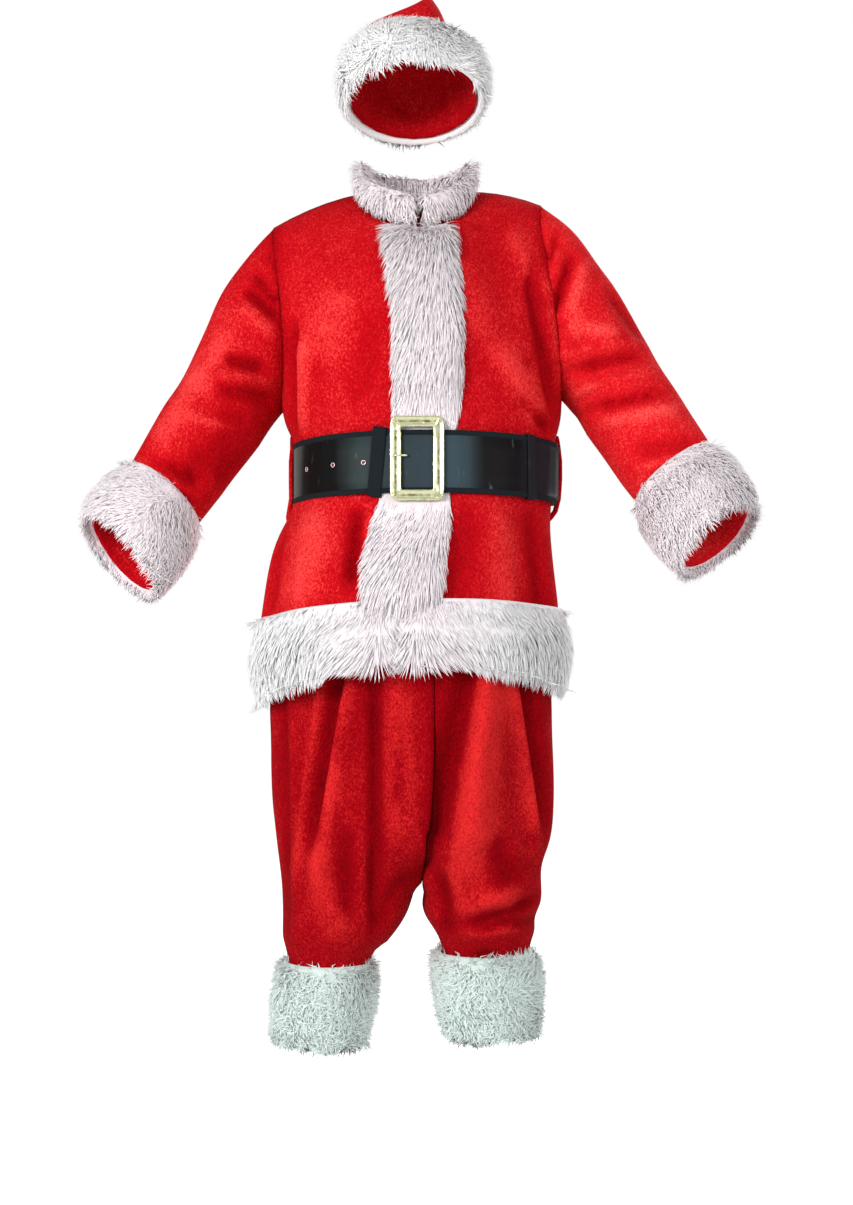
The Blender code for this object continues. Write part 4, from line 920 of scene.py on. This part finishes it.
def hem_size(points):
    """Shorter where it starts from the stitched rim."""
    return 0.62 + 0.38 * soft(-points[:, 2], 0.585, 0.625)


def hem_shape(points, outs):
    """Pressed closer to the hips, most on the suit's right."""
    sign = np.sign(points[:, 0])
    beside = np.where(sign < 0, 0.0110, 0.0060) * soft(np.abs(points[:, 0]), 0.12, 0.20)
    beside *= soft(-points[:, 2], 0.600, 0.635) * np.clip(outs[:, 0] * sign, 0, 1)
    points[:, 0] -= sign * beside
    return points


fur_coat("hem_band_fur", "coat_hem_fur", hem_pink_fur, 11600, body_middle, hem_comb,
         length=0.036, width=0.0010, wild=0.22, clump=9, gathered=0.24, favour=front_weight,
         bends="long", ahead=(0, 0, -1), flush=0.042, tuck=0.003, proud=-0.08, size_at=hem_size,
         shape=hem_shape, seed=4)


def cuff_comb(points, outs, sign):
    """Down the arm on top, hanging on the sides."""
    top = soft(outs[:, 2], -0.2, 0.8)[:, None]
    return top * np.array((0.75 * sign, -0.2, -0.5)) + (1 - top) * np.array((0.20 * sign, -0.1, -0.9))


for side, sign in SIGN.items():
    fur_coat("cuff_fur_" + side, "coat_cuff_fur_" + side, pink_fur, 8700,
             partial(along_line, line=SLEEVE_LINE[side]), partial(cuff_comb, sign=sign),
             length=0.025, wild=0.75, clump=10, lip=-0.5, rim_pile=0.6, turned=0.014, lift=10,
             ahead=(0.62 * sign, -0.22, -0.75), flush=0.022, tuck=0.004, seed=5 + sign)


def collar_comb(points, outs):
    return downwards(np.zeros(len(points))) + unit(points - body_middle(points)) * (0.4, 0.4, 0)


fur_coat("collar_fur", "coat_collar_fur", pink_fur, 4700, body_middle, collar_comb,
         length=0.027, wild=0.5, lift=10, rim_pile=0.6, inside=True, seed=8)
for side in ("right", "left"):
    fur_coat("leg_cuff_fur_" + side, "trousers_cuff_fur_" + side, white_fur, 8600,
             partial(along_line, line=LEG_LINE[side]), everywhere(0.0, 0.0, -0.35), length=0.027,
             width=0.0012, curl=0.006, wild=1.2, clump=7, lip=-0.5, rim_pile=0.9, ahead=(0, 0, -1),
             turned=0.012, tuck=0.004, bare=0.86, lift=46, gathered=0.6, seed=10 + len(side))

# ------------------------------------------------------------ the cap
# One cone of plush whose point tips over to the back, with a brim and a ball
# of the same fur as the jacket.
HAT_LINE = line_of((-3, 10, 120), (-3, 35.7, 246.5), (4, 61, 292), (8, 94, 301),
                   (10, 125, 289), (11, 155, 268), (11, 188, 228))
BRIM_LINE = line_of((-3, -15.4, -6.5), (-3, 35.7, 246.5))
BRIM_SLANT = (0, 0.36, 1)
BALL_CENTRE = (0.011, 0.2016, 0.1981)
UNDER_BRIM = 0.0022
PEAK_ASIDE, PEAK_BROAD = 0.017, 0.38
hat_middle = partial(along_line, line=HAT_LINE)
cap = panels["hat_crown"] = cut_from("hat_crown", "cap_crown", 2)
ripple(cap, hat_middle, 0.002, 16.0)
mark_seams(cap)
points = points_of(cap)
shoulder = soft(points[:, 2], 0.235, 0.280) * (1 - soft(points[:, 2], 0.285, 0.320))
points[:, 0] -= 0.012 * shoulder * (1 - soft(points[:, 1], 0.06, 0.12))
brim_top = (points_of(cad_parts["hat_brim_fur"]) @ BRIM_SLANT).max()
under = 1 - soft(points @ BRIM_SLANT, brim_top - 0.03, brim_top - 0.01)
points -= unit((points - hat_middle(points)) * (1, 1, 0)) * (UNDER_BRIM * under)[:, None]
peak = soft(points[:, 2], 0.282, 0.336)
points[:, 0] += (PEAK_ASIDE + (points[:, 0] + 0.002) * PEAK_BROAD - points[:, 0]) * peak
put_points(cap, points)
stand_for(cap, "hat_crown", "red_plush", red_plush)


def brim_comb(points, outs):
    """Round the head and a little down."""
    around = np.cross(outs, (0, 0, 1.0))
    return around * np.clip(points[:, :1] / 0.05, -1, 1) * -0.55 + np.array((0, 0, -0.6))


def brim_size(points):
    """Longer beside the forehead, where it hangs over the rim."""
    return 1 + 0.5 * soft(np.abs(points[:, 0]), 0.03, 0.06) * (points[:, 1] < 0)


fur_coat("hat_brim_fur", "cap_brim_fur", cap_fur, 7500,
         partial(along_line, line=BRIM_LINE), brim_comb, size_at=brim_size, length=0.026, wild=0.75,
         lift=8, favour=front_weight, lip=0.1, ahead=(0, -0.34, -0.94), seed=12)
fur_coat("hat_pompom", "cap_ball", cap_fur, 2300, everywhere(*BALL_CENTRE),
         everywhere(0.1, 0.1, -0.4), pile=0.024, length=0.024, wild=0.9, rim_pile=0.8, lift=24,
         gathered=0.3, seed=14)

# ------------------------------------------------------------ the belt
# A broad strap of grained leatherette with bound edges, threaded through a
# cast buckle, two keepers and two loops of plush at the side seams.
LOOP_SWELL, LOOP_IN = 0.0026, 0.0012
for side in ("right", "left"):
    loop = cut_from("belt_loop_" + side, "plush_belt_loop_" + side, 2)
    points, normals = points_of(loop), normals_of(loop)
    put_points(loop, points + normals * LOOP_SWELL - unit(points * (1, 0, 0)) * LOOP_IN)
    stand_for(loop, "belt_loop_" + side, "red_plush", red_plush)

# Painted highlights and reflections: lighter bands across the front of the black strap.
SHINE = (
    # share of the way across the front, colour
    (0.00, (0.100, 0.110, 0.085)), (0.06, (0.090, 0.095, 0.080)), (0.10, (0.006, 0.006, 0.006)),
    (0.20, (0.005, 0.005, 0.005)), (0.32, (0.024, 0.036, 0.037)), (0.50, (0.030, 0.042, 0.050)),
    (0.64, (0.036, 0.058, 0.072)), (0.70, (0.030, 0.044, 0.052)), (0.76, (0.008, 0.007, 0.007)),
    (0.88, (0.005, 0.004, 0.005)), (0.94, (0.014, 0.015, 0.019)),
)
FRONT_FROM, FRONT_TO = -0.178, 0.222
leather, tree, shader = new_material("black leatherette")
place = object_place(tree)
tall = add(tree, "Mapping", (("Vector", place), ("Scale", (1.0, 1.0, 0.12))))
bands = noisy(tree, tall, 14.0, rough=0.4)
along = add(tree, "SeparateXYZ", (("Vector", place),))
wander = maths(tree, "MULTIPLY_ADD", bands, 0.045, along)
tone = ramp(tree, span(tree, wander, FRONT_FROM, FRONT_TO), *SHINE)
slanted = add(tree, "Mapping", (
    ("Vector", place), ("Rotation", (0, 0.75, 0)), ("Scale", (1.0, 1.0, 0.18))))
scratches = spots(tree, slanted, 190.0, 0.62, 0.84, rough=0.6)
worn = maths(tree, "MULTIPLY", scratches, spots(tree, place, 30.0, 0.54, 0.74))
creases = add(tree, "TexVoronoi", (("Vector", place), ("Scale", 900.0)))
wire(tree, shader, (
    ("Base Color", mix(tree, worn, tone, (0.13, 0.17, 0.185, 1))),
    ("Normal", bump(tree, creases, 0.25, 0.0004)),
    ("Roughness", span(tree, bands, low=0.30, high=0.52)), ("Specular IOR Level", 0.05)))

binding, tree, shader = new_material("black binding tape")
place = object_place(tree)
ribs = add(tree, "TexWave", (
    ("Vector", place), ("Scale", 260.0), ("Distortion", 1.5), ("Detail", 2.0))).outputs["Fac"]
shaded = add(tree, "VectorMath", (
    (0, (0.0070, 0.0120, 0.0150)), ("Scale", span(tree, ribs, low=0.6))), operation="SCALE")
wire(tree, shader, (
    ("Base Color", shaded), ("Normal", bump(tree, ribs, 0.4, 0.0004)),
    ("Roughness", 0.85), ("Specular IOR Level", 0.15)))

BOUND = 0.0078
COLUMN_REACH, COLUMN_DEEP = 0.011, 0.0015
FLAT_FACE = 0.7
SLACK, SLACK_WAVES = 0.0005, 26
strap = cut_from("belt_strap", "belt_strap_leather", 0, rim=25)
points = points_of(strap)
for face in strap.data.polygons:
    apart = points - np.array(face.center)
    level = np.array(face.normal) * (1, 1, 0)
    close = (np.linalg.norm(apart[:, :2], axis=1) < COLUMN_REACH) & (np.abs(apart @ level) < COLUMN_DEEP)
    close[list(face.vertices)] = True
    near = points[close]
    leathery = near[:, 2].min() + BOUND < face.center.z < near[:, 2].max() - BOUND
    if abs(face.normal.z) > FLAT_FACE or not leathery:
        face.material_index = 1
round_off(strap, 2)
points = points_of(strap)
out = unit(points - body_middle(points))
slack = np.array([noise.noise(Vector((p[0], p[1], 0)) * SLACK_WAVES) for p in points])
put_points(strap, points + out * (slack * SLACK)[:, None])
stand_for(strap, "belt_strap", "black_leather", leather, binding)
for end, finish in (("buckle", binding), ("tip", leather)):
    keeper = cut_from("belt_keeper_" + end, "belt_keeper_leather_" + end, 2, rim=35, crease=0.85)
    stand_for(keeper, "belt_keeper_" + end, "black_leather", finish)

gold, tree, shader = new_material("pale gold")
place = object_place(tree)
dents = noisy(tree, place, 150.0, detail=3.0)
# Painted shade on the buckle, kept for each point, turns the gold towards dark olive.
buckle_shade = add(tree, "Attribute", attribute_name="buckle_shade").outputs["Fac"]
tone = ramp(tree, maths(tree, "MULTIPLY_ADD", dents, 0.9, buckle_shade),
            (0.52, (0.75, 0.765, 0.47)), (0.72, (0.60, 0.61, 0.36)), (0.9615, (0.16, 0.15, 0.05)))
wire(tree, shader, (
    ("Base Color", tone), ("Normal", bump(tree, dents, 0.35, 0.0015)), ("Metallic", 0.85), ("Roughness", 0.30)))

BUCKLE_BAR = 0.0155
BUCKLE_CORNER = 0.010
BUCKLE_DEEP = 0.0042
LONG_EDGE = 0.022
CAST, CAST_WAVES = 0.0004, 170.0
GROOVE_IN, GROOVE_WIDE = 0.0078, 0.0014
buckle_low, buckle_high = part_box("buckle_frame")
buckle_size = buckle_high - buckle_low
centre = (buckle_low + buckle_high) / 2
bpy.ops.object.select_all(action="DESELECT")
bpy.ops.mesh.primitive_plane_add(
    size=1, location=(centre.x, buckle_high.y, centre.z), rotation=(math.pi / 2, 0, 0))
buckle = bpy.context.object
buckle.name = "cast_buckle"
buckle.scale = (buckle_size.x, buckle_size.z, 1)
bpy.ops.object.transform_apply(location=True, rotation=True, scale=True)
mode("EDIT")
bpy.ops.mesh.select_all(action="SELECT")
bpy.ops.mesh.bevel(offset=BUCKLE_CORNER, affect="VERTICES", segments=4)
bpy.ops.mesh.inset(thickness=BUCKLE_BAR)
bpy.ops.mesh.delete(type="FACE")
bpy.ops.mesh.select_all(action="SELECT")
bpy.ops.mesh.extrude_region_move(TRANSFORM_OT_translate={"value": (0, -BUCKLE_DEEP, 0)})
bpy.ops.mesh.inset(thickness=0.0022, depth=0.0010)
bpy.ops.mesh.inset(thickness=0.0030, depth=-0.0012)
bpy.ops.mesh.select_all(action="DESELECT")
mode("OBJECT")
for edge in buckle.data.edges:
    ends = [buckle.data.vertices[corner].co for corner in edge.vertices]
    edge.select = (ends[0] - ends[1]).length > LONG_EDGE
mode("EDIT")
bpy.ops.mesh.select_mode(type="EDGE")
bpy.ops.mesh.subdivide(number_cuts=4)
bpy.ops.mesh.select_all(action="SELECT")
bpy.ops.mesh.normals_make_consistent(inside=False)
mode("OBJECT")
round_off(buckle, 2)
points, normals = points_of(buckle), normals_of(buckle)
cast = np.array([noise.noise(Vector(point) * CAST_WAVES) for point in points])
put_points(buckle, points + normals * (cast * CAST)[:, None])
from_edge = np.minimum(buckle_size.x / 2 - np.abs(points[:, 0] - centre.x),
                       buckle_size.z / 2 - np.abs(points[:, 2] - centre.z))
# Painted shade: darker along the middle of each bar, at the frame's inner edge and along its bottom.
darker = hump(from_edge, GROOVE_IN, GROOVE_WIDE) * 0.42 + soft(from_edge, 0.0135, 0.0160) * 0.25
darker += soft(buckle_low.z - points[:, 2], -0.004, 0.001) * 0.35
put_values(buckle, "buckle_shade", darker)
prong = cut_from("buckle_prong", "cast_prong", 1)
for piece, node in ((buckle, "buckle_frame"), (prong, "buckle_prong")):
    stand_for(piece, node, "pale_gold", gold)


def mottled(name, scale, dark, light, rough, metal=0.0):
    made, tree, shader = new_material(name)
    tone = ramp(tree, noisy(tree, object_place(tree), scale), (0.0, dark), (1.0, light))
    wire(tree, shader, (("Base Color", tone), ("Metallic", metal), ("Roughness", rough)))
    return made


EYELET_HOLE, HOLE_SUNK = 0.0028, 0.0006
ring_metal = mottled("eyelet metal", 600.0, (0.62, 0.42, 0.42), (0.95, 0.86, 0.86), 0.4, metal=0.6)
# Each eyelet gets a dark red disc sunk in its hole: the red of the plush seen through it, darkened with painted shade.
shaded_hole = mottled("eyelet hole, painted shade", 900.0, (0.05, 0.002, 0.004), (0.20, 0.006, 0.012), 0.9)
for number in (1, 2, 3):
    node = "belt_eyelet_%d" % number
    eyelet = cut_from(node, "rolled_eyelet_%d" % number, 2, crease=0)
    eyelet.data.materials.append(ring_metal)
    low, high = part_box(node)
    middle = (low + high) / 2
    flat = points_of(eyelet)[:, :2] - np.array(middle[:2])
    ways = np.linalg.eigh(flat.T @ flat)[1]
    normal = Vector((*(ways[:, 0] * np.sign(-ways[1, 0] or 1)), 0))
    bpy.ops.object.select_all(action="DESELECT")
    bpy.ops.mesh.primitive_circle_add(
        vertices=24, radius=EYELET_HOLE, fill_type="TRIFAN", location=middle - normal * HOLE_SUNK,
        rotation=normal.to_track_quat("Z", "Y").to_euler())
    disc = bpy.context.object
    bpy.ops.object.transform_apply(location=True, rotation=True, scale=True)
    disc.data.materials.append(shaded_hole)
    eyelet.select_set(True)
    bpy.context.view_layer.objects.active = eyelet
    bpy.ops.object.join()
    stand_for(eyelet, node, "eyelet_metal")
